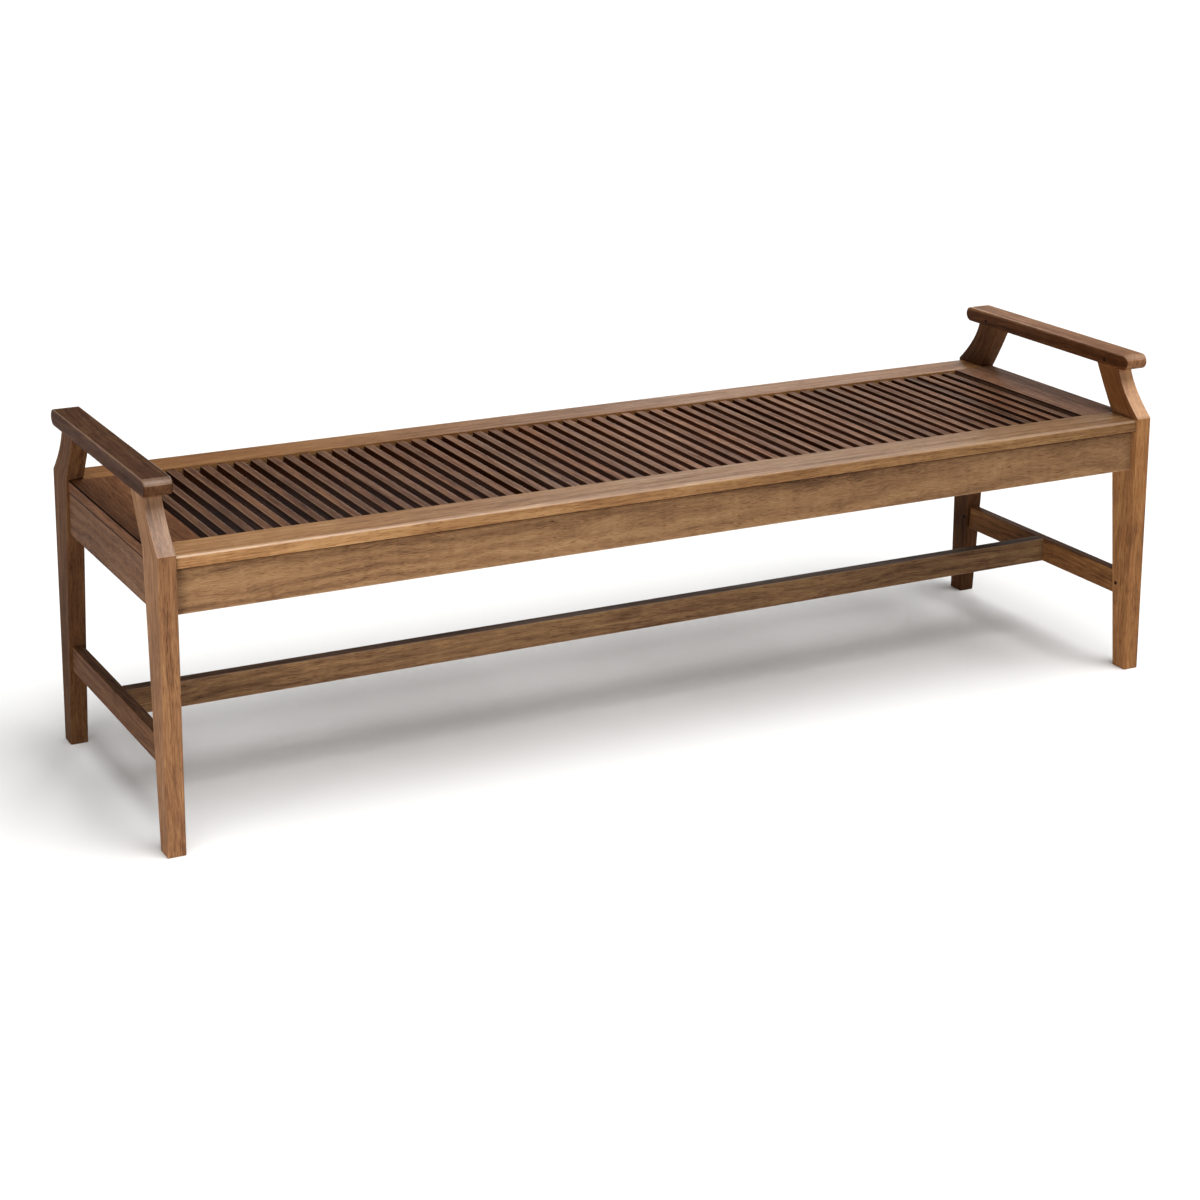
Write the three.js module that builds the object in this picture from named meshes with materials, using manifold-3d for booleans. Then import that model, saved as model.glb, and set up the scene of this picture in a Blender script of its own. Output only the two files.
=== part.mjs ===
// A backless slatted garden bench in oiled hardwood, with a handle-like armrest over each end.
// Millimetres, +Z up. The origin is on the ground under the middle of the bench, X runs along its
// length (left is -X) and the front is -Y.

import * as THREE from "three";
import { mergeVertices } from "three/addons/utils/BufferGeometryUtils.js";
import Module from "manifold-3d";

const wasm = await Module();
wasm.setup();

// ---------------------------------------------------------------- driving dimensions

const LENGTH = 1764; // over the legs
const DEPTH = 524; // over the legs
const SEAT_TOP = 450;
const JOINT_GAP = 0.3; // between any two pieces that meet

const LEG_THICKNESS = 28;
const FOOT_WIDTH = 33;
const LEG_WIDTH_AT_SEAT = 70;
const KNEE_HEIGHT = 453; // where the leg's outer edge starts to sweep in
const LEG_TOP = 532; // also the armrest's underside
const LEG_TOP_OUTER = 59; // inset of the leg's outer edge at its top
const LEG_TOP_INNER = 118;
const OUTER_SWEEP = [49, 496]; // inset and height of the outer sweep's control point
const INNER_SWEEP = [95.5, 489];
const CURVE_STEPS = 10;

const ARMREST_LENGTH = 470;
const ARMREST_WIDTH = 43;
const ARMREST_THICKNESS = 26;

const SEAT_THICKNESS = 20;
const RAIL_INSET = 4; // seat rail's face behind the leg's face
const RAIL_WIDTH = 70;
const END_BOARD_INSET = 4;
const END_BOARD_WIDTH = 86;
const GROOVE_DEPTH = 8; // in the rails' inner edges
const TONGUE_LENGTH = 7;
const TONGUE_THICKNESS = 6;

const SLAT_COUNT = 56;
const SLATS_PER_BANK = 4;
const SLAT_WIDTH = 14;
const SLAT_TOP = 448;
const SLAT_THICKNESS = 18;

const APRON_BOTTOM = 360;
const LONG_APRON_INSET = 14;
const LONG_APRON_THICKNESS = 20;
const END_APRON_THICKNESS = 17.5;

const STRETCHER_BOTTOM = 128;
const STRETCHER_TOP = 170;
const END_STRETCHER_THICKNESS = 17.5;
const LONG_STRETCHER_THICKNESS = 22;

const TENON_THICKNESS = 8;
const TENON_SHOULDER = 6; // taken off above and below a tenon
const APRON_TENON = 18; // tenon lengths
const END_APRON_TENON = 24;
const STRETCHER_TENON = 28;
const CROSS_TENON = 12; // long stretcher into end stretcher
const BRACE_TENON = 8;
const RAIL_TENON = 12;
const LEG_TOP_TENON = { thickness: 12, inset: 12, height: 17 };

const PEG_RADIUS = 3.5;
const PEG_SIDES = 16;
const ARMREST_PEG = { height: 540.5, length: 32 };
const LEG_PEG = { height: 149.5, fromEdge: 9.5, length: 22 };
const CROSS_PEG = { fromFace: 7, length: 30 };

const BRACE_WIDTH = 24;
const BRACE_BOTTOM = 384;
const BRACE_SPACING = 560; // between the two braces' middles

const BLOCK = { along: 62, across: 26, cut: 8, bottom: 376, top: 424 };
const SCREW = { x: 28, y: 12, length: 66, radius: 2.2, head: 4.4, headHeight: 3, clearance: 2.6 };

// ---------------------------------------------------------------- values worked out from them

const HALF_DEPTH = DEPTH / 2;
const HALF_THICKNESS = LEG_THICKNESS / 2;
const LEG_X = LENGTH / 2 - HALF_THICKNESS; // middle of a leg's thickness
const INNER_X = LENGTH / 2 - LEG_THICKNESS; // a leg's face towards the middle of the bench
const SEAT_BOTTOM = SEAT_TOP - SEAT_THICKNESS;
const RAIL_EDGE = HALF_DEPTH - RAIL_INSET - RAIL_WIDTH; // rail's inner edge, from the middle
const END_BOARD_OUTER = LENGTH / 2 - END_BOARD_INSET;
const OPENING_HALF = END_BOARD_OUTER - END_BOARD_WIDTH; // slatted field's half length
const SLAT_GAP = (2 * OPENING_HALF - SLAT_COUNT * SLAT_WIDTH) / (SLAT_COUNT + 1);
const SLAT_PITCH = SLAT_WIDTH + SLAT_GAP;
const TONGUE_Z = SEAT_BOTTOM + SEAT_THICKNESS / 2;
const APRON_TOP = SEAT_BOTTOM - JOINT_GAP;
const STRETCHER_MIDDLE = (STRETCHER_BOTTOM + STRETCHER_TOP) / 2;
const ARMREST_PEG_INSET = (LEG_TOP_OUTER + LEG_TOP_INNER) / 2;

/** How far a leg's inner edge stands in from its outer edge at a height below the seat. */
const legWidthAt = (height) => FOOT_WIDTH + ((LEG_WIDTH_AT_SEAT - FOOT_WIDTH) * height) / SEAT_TOP;

// ---------------------------------------------------------------- solids

/** A closed geometry as a solid that can be cut and joined. */
function toSolid(geometry) {
  const bare = geometry.clone();
  bare.deleteAttribute("normal");
  bare.deleteAttribute("uv");
  const merged = mergeVertices(bare);
  const vertProperties = new Float32Array(merged.attributes.position.array);
  const triVerts = new Uint32Array(merged.index.array);
  return new wasm.Manifold(new wasm.Mesh({ numProp: 3, vertProperties, triVerts }));
}

/** A solid's surface as a geometry. */
function toGeometry(solid) {
  const { vertProperties, triVerts } = solid.getMesh();
  const geometry = new THREE.BufferGeometry();
  geometry.setAttribute("position", new THREE.BufferAttribute(vertProperties, 3));
  geometry.setIndex(new THREE.BufferAttribute(triVerts, 1));
  geometry.computeVertexNormals();
  return geometry;
}

/** A block between two corners. */
function block(low, high) {
  const size = high.map((value, axis) => value - low[axis]);
  const geometry = new THREE.BoxGeometry(...size);
  geometry.translate(...low.map((value, axis) => value + size[axis] / 2));
  return toSolid(geometry);
}

/** A block that is centred in X on 0. */
const centredBlock = (thickness, [y0, y1], [z0, z1]) =>
  block([-thickness / 2, y0, z0], [thickness / 2, y1, z1]);

/** An outline in Y and Z, sawn to a thickness in X and centred on x = 0. */
function sawn(outline, thickness) {
  const geometry = new THREE.ExtrudeGeometry(outline, {
    depth: thickness,
    bevelEnabled: false,
    curveSegments: CURVE_STEPS,
  });
  geometry.translate(0, 0, -thickness / 2);
  const [x, y, z] = [[1, 0, 0], [0, 1, 0], [0, 0, 1]].map((axis) => new THREE.Vector3(...axis));
  geometry.applyMatrix4(new THREE.Matrix4().makeBasis(y, z, x));
  return toSolid(geometry);
}

/** An outline in X and Y, raised from one height to another. */
function raised(outline, bottom, top) {
  const geometry = new THREE.ExtrudeGeometry(outline, { depth: top - bottom, bevelEnabled: false });
  geometry.translate(0, 0, bottom);
  return toSolid(geometry);
}

/** A straight-sided outline through the points. */
function polygon(points) {
  return new THREE.Shape(points.map(([x, y]) => new THREE.Vector2(x, y)));
}

/** A round bar along X from x = start to x = end. */
function barAlongX(radius, start, end, y, z) {
  const geometry = new THREE.CylinderGeometry(radius, radius, Math.abs(end - start), PEG_SIDES);
  geometry.rotateZ(Math.PI / 2);
  geometry.translate((start + end) / 2, y, z);
  return toSolid(geometry);
}

/** A round bar along Z. */
function barAlongZ(radius, bottom, top, x, y) {
  const geometry = new THREE.CylinderGeometry(radius, radius, top - bottom, PEG_SIDES);
  geometry.rotateX(Math.PI / 2);
  geometry.translate(x, y, (bottom + top) / 2);
  return toSolid(geometry);
}

const joined = (first, ...others) => others.reduce((solid, other) => solid.add(other), first);
const cut = (first, ...others) => others.reduce((solid, other) => solid.subtract(other), first);

/** Both copies of a solid, the second mirrored front to back about y = 0. */
const frontAndBack = (solid) => solid.add(solid.mirror([0, 1, 0]));

// ---------------------------------------------------------------- finishes

const finish = (color) => new THREE.MeshStandardMaterial({ color, roughness: 0.55, metalness: 0 });

const wood = {
  leg: "#8d6748",
  armrest: "#6f5340",
  rail: "#a67c52",
  endBoard: "#6e5542",
  apron: "#8a6849",
  slat: "#7b6150",
  stretcher: "#6a5038",
  peg: "#3a2519",
  hidden: "#74573f",
};

const bench = new THREE.Group();

/** Adds a named piece to a group, made from a solid in the group's own coordinates. */
function addPiece(group, name, solid, material) {
  const mesh = new THREE.Mesh(toGeometry(solid), material);
  mesh.name = name;
  group.add(mesh);
}

// ---------------------------------------------------------------- pieces

/**
 * A leg in its corner's coordinates: x is centred on its thickness, y is 0 on its outer edge and
 * grows towards the middle of the bench. inward is 1 or -1, the side in x that faces the middle.
 */
function makeLeg(inward) {
  const outline = new THREE.Shape();
  outline.moveTo(0, 0);
  outline.lineTo(FOOT_WIDTH, 0);
  outline.lineTo(LEG_WIDTH_AT_SEAT, SEAT_TOP);
  outline.quadraticCurveTo(...INNER_SWEEP, LEG_TOP_INNER, LEG_TOP - JOINT_GAP);
  outline.lineTo(LEG_TOP_OUTER, LEG_TOP - JOINT_GAP);
  outline.quadraticCurveTo(...OUTER_SWEEP, 0, KNEE_HEIGHT);
  outline.closePath();

  const { thickness, inset, height } = LEG_TOP_TENON;
  const tenonY = [LEG_TOP_OUTER + inset, LEG_TOP_INNER - inset];
  const topTenon = centredBlock(thickness, tenonY, [LEG_TOP - 2, LEG_TOP + height]);

  const face = inward * HALF_THICKNESS;
  const pegHole = (length, y, z) =>
    barAlongX(PEG_RADIUS + JOINT_GAP, face + inward, face - inward * length, y, z);
  const legPegY = legWidthAt(LEG_PEG.height) - LEG_PEG.fromEdge;

  return cut(
    joined(sawn(outline, LEG_THICKNESS), topTenon),
    longApronMortise(inward),
    railMortise(inward),
    mortiseFromInside(END_APRON_TENON, APRON_BOTTOM, APRON_TOP),
    mortiseFromInside(STRETCHER_TENON, STRETCHER_BOTTOM, STRETCHER_TOP),
    pegHole(ARMREST_PEG.length, ARMREST_PEG_INSET, ARMREST_PEG.height),
    pegHole(LEG_PEG.length + JOINT_GAP, legPegY, LEG_PEG.height),
  );
}

/** The cut for a tenon that enters a leg's inner edge along Y, for a piece between two heights. */
function mortiseFromInside(length, bottom, top) {
  const width = legWidthAt(top);
  const z = [bottom + TENON_SHOULDER - JOINT_GAP, top - TENON_SHOULDER + JOINT_GAP];
  return centredBlock(TENON_THICKNESS + 2 * JOINT_GAP, [width - length - 2, width + 2], z);
}

/** The cut for a piece that enters a leg's face towards the middle of the bench. */
function mortiseInFace(inward, depth, [y0, y1], [z0, z1]) {
  const xs = [inward * (HALF_THICKNESS + 1), inward * (HALF_THICKNESS - depth - JOINT_GAP)];
  return block(
    [Math.min(...xs), y0 - JOINT_GAP, z0 - JOINT_GAP],
    [Math.max(...xs), y1 + JOINT_GAP, z1 + JOINT_GAP],
  );
}

const LONG_APRON_TENON_Y = [0, TENON_THICKNESS].map((y) => LONG_APRON_INSET + TENON_SHOULDER + y);
const LONG_APRON_TENON_Z = [APRON_BOTTOM + TENON_SHOULDER, APRON_TOP - TENON_SHOULDER];
const RAIL_TENON_Y = [RAIL_INSET + TENON_SHOULDER, LEG_WIDTH_AT_SEAT - 3 * TENON_SHOULDER];
const RAIL_TENON_Z = [-TONGUE_THICKNESS / 2, TONGUE_THICKNESS / 2].map((z) => TONGUE_Z + z);

const longApronMortise = (inward) =>
  mortiseInFace(inward, APRON_TENON, LONG_APRON_TENON_Y, LONG_APRON_TENON_Z);
const railMortise = (inward) => mortiseInFace(inward, RAIL_TENON, RAIL_TENON_Y, RAIL_TENON_Z);

/** An armrest centred on its end of the bench, in a group that stands at the legs' x. */
function makeArmrest(inward) {
  const radius = ARMREST_THICKNESS / 2;
  const flat = ARMREST_LENGTH / 2 - radius;
  const middle = LEG_TOP + radius;
  const outline = new THREE.Shape();
  outline.absarc(flat, middle, radius, -Math.PI / 2, Math.PI / 2);
  outline.absarc(-flat, middle, radius, Math.PI / 2, (3 * Math.PI) / 2);
  outline.closePath();

  const { thickness, inset, height } = LEG_TOP_TENON;
  const near = HALF_DEPTH - LEG_TOP_INNER + inset - JOINT_GAP;
  const far = HALF_DEPTH - LEG_TOP_OUTER - inset + JOINT_GAP;
  const mortiseZ = [LEG_TOP - 1, LEG_TOP + height + JOINT_GAP];
  const mortise = centredBlock(thickness + 2 * JOINT_GAP, [near, far], mortiseZ);
  const face = inward * (ARMREST_WIDTH / 2);
  const pegEnd = face - inward * (ARMREST_PEG.length + JOINT_GAP);
  const pegY = HALF_DEPTH - ARMREST_PEG_INSET;
  const pegHole = barAlongX(PEG_RADIUS + JOINT_GAP, face + inward, pegEnd, pegY, ARMREST_PEG.height);
  return cut(sawn(outline, ARMREST_WIDTH), frontAndBack(mortise), frontAndBack(pegHole));
}

/** A piece between the front and back leg of one end, its ends sloped to meet the tapered legs. */
function makeEndMember(thickness, bottom, top, tenonLength) {
  const reach = (z) => HALF_DEPTH - legWidthAt(z) - JOINT_GAP;
  const outline = polygon([
    [reach(bottom), bottom],
    [reach(top), top],
    [-reach(top), top],
    [-reach(bottom), bottom],
  ]);
  const tenonEnd = HALF_DEPTH - legWidthAt(top) + tenonLength;
  const tenonZ = [bottom + TENON_SHOULDER, top - TENON_SHOULDER];
  return sawn(outline, thickness).add(centredBlock(TENON_THICKNESS, [-tenonEnd, tenonEnd], tenonZ));
}

/** An end stretcher, with the mortise and peg hole for the long stretcher on its inward face. */
function makeEndStretcher(inward) {
  const body = makeEndMember(
    END_STRETCHER_THICKNESS, STRETCHER_BOTTOM, STRETCHER_TOP, STRETCHER_TENON,
  );
  const face = END_STRETCHER_THICKNESS / 2;
  const half = TENON_THICKNESS / 2 + JOINT_GAP;
  const xs = [inward * (face + 1), inward * (face - CROSS_TENON - JOINT_GAP)];
  const mortise = block(
    [Math.min(...xs), -half, STRETCHER_BOTTOM + TENON_SHOULDER - JOINT_GAP],
    [Math.max(...xs), half, STRETCHER_TOP - TENON_SHOULDER + JOINT_GAP],
  );
  const crossPegTop = STRETCHER_BOTTOM + CROSS_PEG.length + JOINT_GAP;
  const crossPegX = inward * (face - CROSS_PEG.fromFace);
  const crossPegHole = barAlongZ(
    TENON_THICKNESS / 4 + JOINT_GAP, STRETCHER_BOTTOM - 1, crossPegTop, crossPegX, 0,
  );
  const pegY = HALF_DEPTH - legWidthAt(LEG_PEG.height) + LEG_PEG.fromEdge;
  const reach = TENON_THICKNESS;
  const legPegHole = barAlongX(PEG_RADIUS + JOINT_GAP, -reach, reach, pegY, LEG_PEG.height);
  return cut(body, mortise, crossPegHole, frontAndBack(legPegHole));
}

/** The long stretcher, tenoned into both end stretchers. */
function makeLongStretcher() {
  const shoulder = LEG_X - END_STRETCHER_THICKNESS / 2 - JOINT_GAP;
  const half = LONG_STRETCHER_THICKNESS / 2;
  const tenonEnd = shoulder + CROSS_TENON;
  const pegX = LEG_X - END_STRETCHER_THICKNESS / 2 + CROSS_PEG.fromFace;
  const pegHoles = [-pegX, pegX].map((x) =>
    barAlongZ(
      TENON_THICKNESS / 4 + JOINT_GAP,
      STRETCHER_BOTTOM, STRETCHER_BOTTOM + CROSS_PEG.length + JOINT_GAP, x, 0,
    ));
  const body = block([-shoulder, -half, STRETCHER_BOTTOM], [shoulder, half, STRETCHER_TOP]);
  const tenons = block(
    [-tenonEnd, -TENON_THICKNESS / 2, STRETCHER_BOTTOM + TENON_SHOULDER],
    [tenonEnd, TENON_THICKNESS / 2, STRETCHER_TOP - TENON_SHOULDER],
  );
  return cut(body.add(tenons), ...pegHoles);
}

/** The front rail in its side's coordinates, y = 0 on the legs' outer edges, growing inwards. */
function makeSeatRail() {
  const end = INNER_X - JOINT_GAP;
  const inner = RAIL_INSET + RAIL_WIDTH;
  const halfGroove = TONGUE_THICKNESS / 2 + JOINT_GAP;
  const body = block([-end, RAIL_INSET, SEAT_BOTTOM], [end, inner, SEAT_TOP]);
  const groove = block(
    [-end - 1, inner - GROOVE_DEPTH, TONGUE_Z - halfGroove],
    [end + 1, inner + 1, TONGUE_Z + halfGroove],
  );
  const tenonEnd = INNER_X + RAIL_TENON;
  const tenons = block(
    [-tenonEnd, RAIL_TENON_Y[0], RAIL_TENON_Z[0]],
    [tenonEnd, RAIL_TENON_Y[1], RAIL_TENON_Z[1]],
  );
  const screwX = INNER_X - SCREW.x;
  const screwY = LONG_APRON_INSET + LONG_APRON_THICKNESS + SCREW.y;
  const screwTop = BLOCK.bottom + SCREW.length + JOINT_GAP;
  const pilots = [-screwX, screwX].map((x) =>
    barAlongZ(SCREW.clearance, SEAT_BOTTOM - 1, screwTop, x, screwY));
  return cut(joined(cut(body, groove), tenons), ...pilots);
}

/** A long apron in its side's coordinates, with sockets for the cross braces. */
function makeLongApron() {
  const end = INNER_X - JOINT_GAP;
  const inner = LONG_APRON_INSET + LONG_APRON_THICKNESS;
  const tenonEnd = INNER_X + APRON_TENON;
  const body = block([-end, LONG_APRON_INSET, APRON_BOTTOM], [end, inner, APRON_TOP]);
  const tenons = block(
    [-tenonEnd, LONG_APRON_TENON_Y[0], LONG_APRON_TENON_Z[0]],
    [tenonEnd, LONG_APRON_TENON_Y[1], LONG_APRON_TENON_Z[1]],
  );
  const half = TENON_THICKNESS / 2 + JOINT_GAP;
  const sockets = [-BRACE_SPACING / 2, BRACE_SPACING / 2].map((x) =>
    block(
      [x - half, inner - BRACE_TENON - JOINT_GAP, BRACE_BOTTOM + TENON_SHOULDER - JOINT_GAP],
      [x + half, inner + 1, APRON_TOP - TENON_SHOULDER + JOINT_GAP],
    ));
  return cut(body.add(tenons), ...sockets);
}

/** The right end board: its corners step out beside the rails' ends to reach the legs. */
function makeEndBoard() {
  const inner = OPENING_HALF;
  const railEnd = INNER_X + JOINT_GAP;
  const short = RAIL_EDGE - JOINT_GAP;
  const long = HALF_DEPTH - LEG_WIDTH_AT_SEAT - JOINT_GAP;
  const outline = polygon([
    [inner, -short],
    [railEnd, -short],
    [railEnd, -long],
    [END_BOARD_OUTER, -long],
    [END_BOARD_OUTER, long],
    [railEnd, long],
    [railEnd, short],
    [inner, short],
  ]);
  const tongueEnd = RAIL_EDGE + TONGUE_LENGTH;
  const half = TONGUE_THICKNESS / 2;
  const tongues = block(
    [inner, -tongueEnd, TONGUE_Z - half],
    [INNER_X - JOINT_GAP, tongueEnd, TONGUE_Z + half],
  );
  return raised(outline, SEAT_BOTTOM, SEAT_TOP).add(tongues);
}

/** Some slats side by side, with the spacer fillets that fill the grooves between their tongues. */
function makeSlatBank(bank) {
  const first = bank * SLATS_PER_BANK;
  const last = Math.min(first + SLATS_PER_BANK, SLAT_COUNT) - 1;
  const end = RAIL_EDGE - JOINT_GAP;
  const half = TONGUE_THICKNESS / 2;
  const slatStart = (index) => -OPENING_HALF + SLAT_GAP + index * SLAT_PITCH;
  const slats = [];
  for (let index = first; index <= last; index += 1) {
    const x = slatStart(index);
    slats.push(block([x, -end, SLAT_TOP - SLAT_THICKNESS], [x + SLAT_WIDTH, end, SLAT_TOP]));
    slats.push(block([x, -end - 2, TONGUE_Z - half], [x + SLAT_WIDTH, end + 2, TONGUE_Z + half]));
  }
  const from = slatStart(first) - SLAT_GAP + JOINT_GAP;
  const to = slatStart(last) + SLAT_WIDTH + (last === SLAT_COUNT - 1 ? SLAT_GAP - JOINT_GAP : 0);
  const fillet = block(
    [from, RAIL_EDGE + JOINT_GAP, TONGUE_Z - half],
    [to, RAIL_EDGE + TONGUE_LENGTH, TONGUE_Z + half],
  );
  return joined(frontAndBack(fillet), ...slats);
}

/** A cross brace under the slats, stub-tenoned into the long aprons. */
function makeCrossBrace() {
  const end = HALF_DEPTH - LONG_APRON_INSET - LONG_APRON_THICKNESS;
  const shoulder = end - JOINT_GAP;
  const body = centredBlock(BRACE_WIDTH, [-shoulder, shoulder], [BRACE_BOTTOM, APRON_TOP]);
  const tenonZ = [BRACE_BOTTOM + TENON_SHOULDER, APRON_TOP - TENON_SHOULDER];
  const tenonEnd = end + BRACE_TENON;
  return body.add(centredBlock(TENON_THICKNESS, [-tenonEnd, tenonEnd], tenonZ));
}

/** A corner block in its corner's coordinates, drilled for its screw. */
function makeCornerBlock(inward) {
  const x = HALF_THICKNESS + JOINT_GAP;
  const y = LONG_APRON_INSET + LONG_APRON_THICKNESS + JOINT_GAP;
  const outline = polygon([
    [x, y],
    [x + BLOCK.along, y],
    [x + BLOCK.along, y + BLOCK.cut],
    [x + BLOCK.cut, y + BLOCK.across],
    [x, y + BLOCK.across],
  ].map(([px, py]) => [inward * px, py]));
  const hole = barAlongZ(
    SCREW.clearance, BLOCK.bottom - 1, BLOCK.top + 1, inward * screwX(), y + SCREW.y,
  );
  return cut(raised(outline, BLOCK.bottom, BLOCK.top), hole);
}

/** A seat screw's distance from the middle of the leg's thickness. */
const screwX = () => HALF_THICKNESS + SCREW.x;

/** A round-headed screw, driven up through its corner block. */
function makeSeatScrew(inward) {
  const under = BLOCK.bottom - JOINT_GAP;
  const tip = BLOCK.bottom + SCREW.length;
  const profile = [
    [0, under - SCREW.headHeight],
    [SCREW.head * 0.7, under - SCREW.headHeight * 0.8],
    [SCREW.head, under],
    [SCREW.radius, under],
    [SCREW.radius, tip - 2 * SCREW.radius],
    [0, tip],
  ].map(([radius, height]) => new THREE.Vector2(radius, height));
  const geometry = new THREE.LatheGeometry(profile, PEG_SIDES);
  geometry.rotateX(Math.PI / 2);
  const y = LONG_APRON_INSET + LONG_APRON_THICKNESS + JOINT_GAP + SCREW.y;
  geometry.translate(inward * screwX(), y, 0);
  return toSolid(geometry);
}

// ---------------------------------------------------------------- assembly

const SIDES = [["front", -1], ["back", 1]];
const ENDS = [["left", -1], ["right", 1]];

/** A group placed in the bench and turned half round for the back of it. */
function placed(x, y, turned) {
  const group = new THREE.Group();
  group.position.set(x, y, 0);
  group.rotation.z = turned ? Math.PI : 0;
  bench.add(group);
  return group;
}

for (const [side, sideSign] of SIDES) {
  const turned = sideSign > 0;
  for (const [end, endSign] of ENDS) {
    const inward = turned ? endSign : -endSign;
    const corner = placed(endSign * LEG_X, sideSign * HALF_DEPTH, turned);
    const name = `${side}_${end}`;
    const legFace = inward * HALF_THICKNESS;
    const armFace = inward * (ARMREST_WIDTH / 2);
    const legPegY = legWidthAt(LEG_PEG.height) - LEG_PEG.fromEdge;
    const armPegEnd = armFace - inward * ARMREST_PEG.length;
    const legPegEnd = legFace - inward * LEG_PEG.length;
    addPiece(corner, `leg_${name}`, makeLeg(inward), finish(wood.leg));
    addPiece(
      corner, `armrest_peg_${name}`,
      barAlongX(PEG_RADIUS, armFace, armPegEnd, ARMREST_PEG_INSET, ARMREST_PEG.height),
      finish(wood.peg),
    );
    addPiece(
      corner, `leg_peg_${name}`,
      barAlongX(PEG_RADIUS, legFace, legPegEnd, legPegY, LEG_PEG.height), finish(wood.peg),
    );
    addPiece(corner, `corner_block_${name}`, makeCornerBlock(inward), finish(wood.hidden));
    const steel = new THREE.MeshStandardMaterial({ color: "#9a9a96", roughness: 0.4, metalness: 1 });
    addPiece(corner, `seat_screw_${name}`, makeSeatScrew(inward), steel);
  }
  const edge = placed(0, sideSign * HALF_DEPTH, turned);
  addPiece(edge, `seat_rail_${side}`, makeSeatRail(), finish(wood.rail));
  addPiece(edge, `apron_${side}`, makeLongApron(), finish(wood.apron));
}

for (const [end, endSign] of ENDS) {
  const atLegs = placed(endSign * LEG_X, 0, false);
  const inward = -endSign;
  addPiece(atLegs, `armrest_${end}`, makeArmrest(inward), finish(wood.armrest));
  const apron = makeEndMember(END_APRON_THICKNESS, APRON_BOTTOM, APRON_TOP, END_APRON_TENON);
  addPiece(atLegs, `apron_${end}`, apron, finish(wood.apron));
  addPiece(atLegs, `end_stretcher_${end}`, makeEndStretcher(inward), finish(wood.stretcher));

  const pegX = inward * (END_STRETCHER_THICKNESS / 2 - CROSS_PEG.fromFace);
  const pegTop = STRETCHER_BOTTOM + CROSS_PEG.length;
  const crossPeg = barAlongZ(TENON_THICKNESS / 4, STRETCHER_BOTTOM, pegTop, pegX, 0);
  addPiece(atLegs, `long_stretcher_peg_${end}`, crossPeg, finish(wood.peg));

  addPiece(placed(0, 0, endSign < 0), `end_board_${end}`, makeEndBoard(), finish(wood.endBoard));
  const brace = placed((endSign * BRACE_SPACING) / 2, 0, false);
  addPiece(brace, `cross_brace_${end}`, makeCrossBrace(), finish(wood.hidden));
}

addPiece(bench, "long_stretcher", makeLongStretcher(), finish(wood.stretcher));

for (let bank = 0; bank * SLATS_PER_BANK < SLAT_COUNT; bank += 1) {
  const number = String(bank + 1).padStart(2, "0");
  addPiece(bench, `slat_bank_${number}`, makeSlatBank(bank), finish(wood.slat));
}

export default bench;
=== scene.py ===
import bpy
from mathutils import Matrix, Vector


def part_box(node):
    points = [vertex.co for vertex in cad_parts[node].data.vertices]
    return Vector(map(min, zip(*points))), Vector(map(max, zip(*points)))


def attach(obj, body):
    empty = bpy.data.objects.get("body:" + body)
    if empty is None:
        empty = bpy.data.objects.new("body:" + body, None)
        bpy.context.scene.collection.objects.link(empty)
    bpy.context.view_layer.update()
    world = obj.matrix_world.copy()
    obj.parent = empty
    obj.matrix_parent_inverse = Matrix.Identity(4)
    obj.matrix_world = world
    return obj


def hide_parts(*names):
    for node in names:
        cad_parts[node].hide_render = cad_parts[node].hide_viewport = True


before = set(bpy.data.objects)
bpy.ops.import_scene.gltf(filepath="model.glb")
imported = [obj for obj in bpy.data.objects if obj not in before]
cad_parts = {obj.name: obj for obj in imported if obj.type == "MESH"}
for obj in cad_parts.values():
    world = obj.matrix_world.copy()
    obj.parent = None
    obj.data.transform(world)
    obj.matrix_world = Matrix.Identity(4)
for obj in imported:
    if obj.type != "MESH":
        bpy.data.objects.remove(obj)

"""A backless slatted garden bench in oiled hardwood, with a handle-like armrest over each end.

Metres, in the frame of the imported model: X runs along the bench, the front is -Y and +Z is up.
"""

import logging
import math
import random
from dataclasses import dataclass
from dataclasses import field
from dataclasses import replace
from enum import Enum
from typing import Callable
from typing import Sequence

import bmesh
import bpy
from mathutils import Euler
from mathutils import Matrix
from mathutils import Vector
from mathutils.geometry import interpolate_bezier

LOG = logging.getLogger("bench")
MM = 0.001
BODY = "root"
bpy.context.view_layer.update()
# The least Z of a normal that counts as facing up, and the least part of an edge's direction along
# an axis that counts as parallel to it.
UPWARD = 0.35
PARALLEL = 0.999
# Faces that meet at less than this many degrees are shaded as one surface.
SMOOTH_BELOW = 48.0


class Slot(Enum):
    """The record's material slots."""

    LEG = "leg_wood"
    ARMREST = "armrest_wood"
    RAIL = "rail_wood"
    END_BOARD = "end_board_wood"
    APRON = "apron_wood"
    SLAT = "slat_wood"
    STRETCHER = "stretcher_wood"
    PEG = "peg_wood"
    HIDDEN = "hidden_wood"
    SCREW = "screw_steel"


class Along(Enum):
    """Which way a piece's grain runs, as the order in which X, Y and Z are read from it."""

    X = (0, 1, 2)
    Y = (1, 2, 0)
    Z = (2, 0, 1)


class WearAndPaintedLight(Enum):
    """What is painted on an edge: paler where hands have worn it, partly as real rubbing and partly as
    a painted highlight; left plain; or darkened with painted shade.
    """

    # Paler: real rubbing together with a painted highlight.
    RUBBED = 1.0
    # The same, but only on faces that look upwards, where the painted highlight of the key falls.
    RUBBED_ABOVE = 0.5
    PLAIN = 0.0
    # Painted shade, for an edge in a groove or under an overhang.
    PAINTED_SHADE = -1.0


# ---------------------------------------------------------------- colours and nodes


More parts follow.
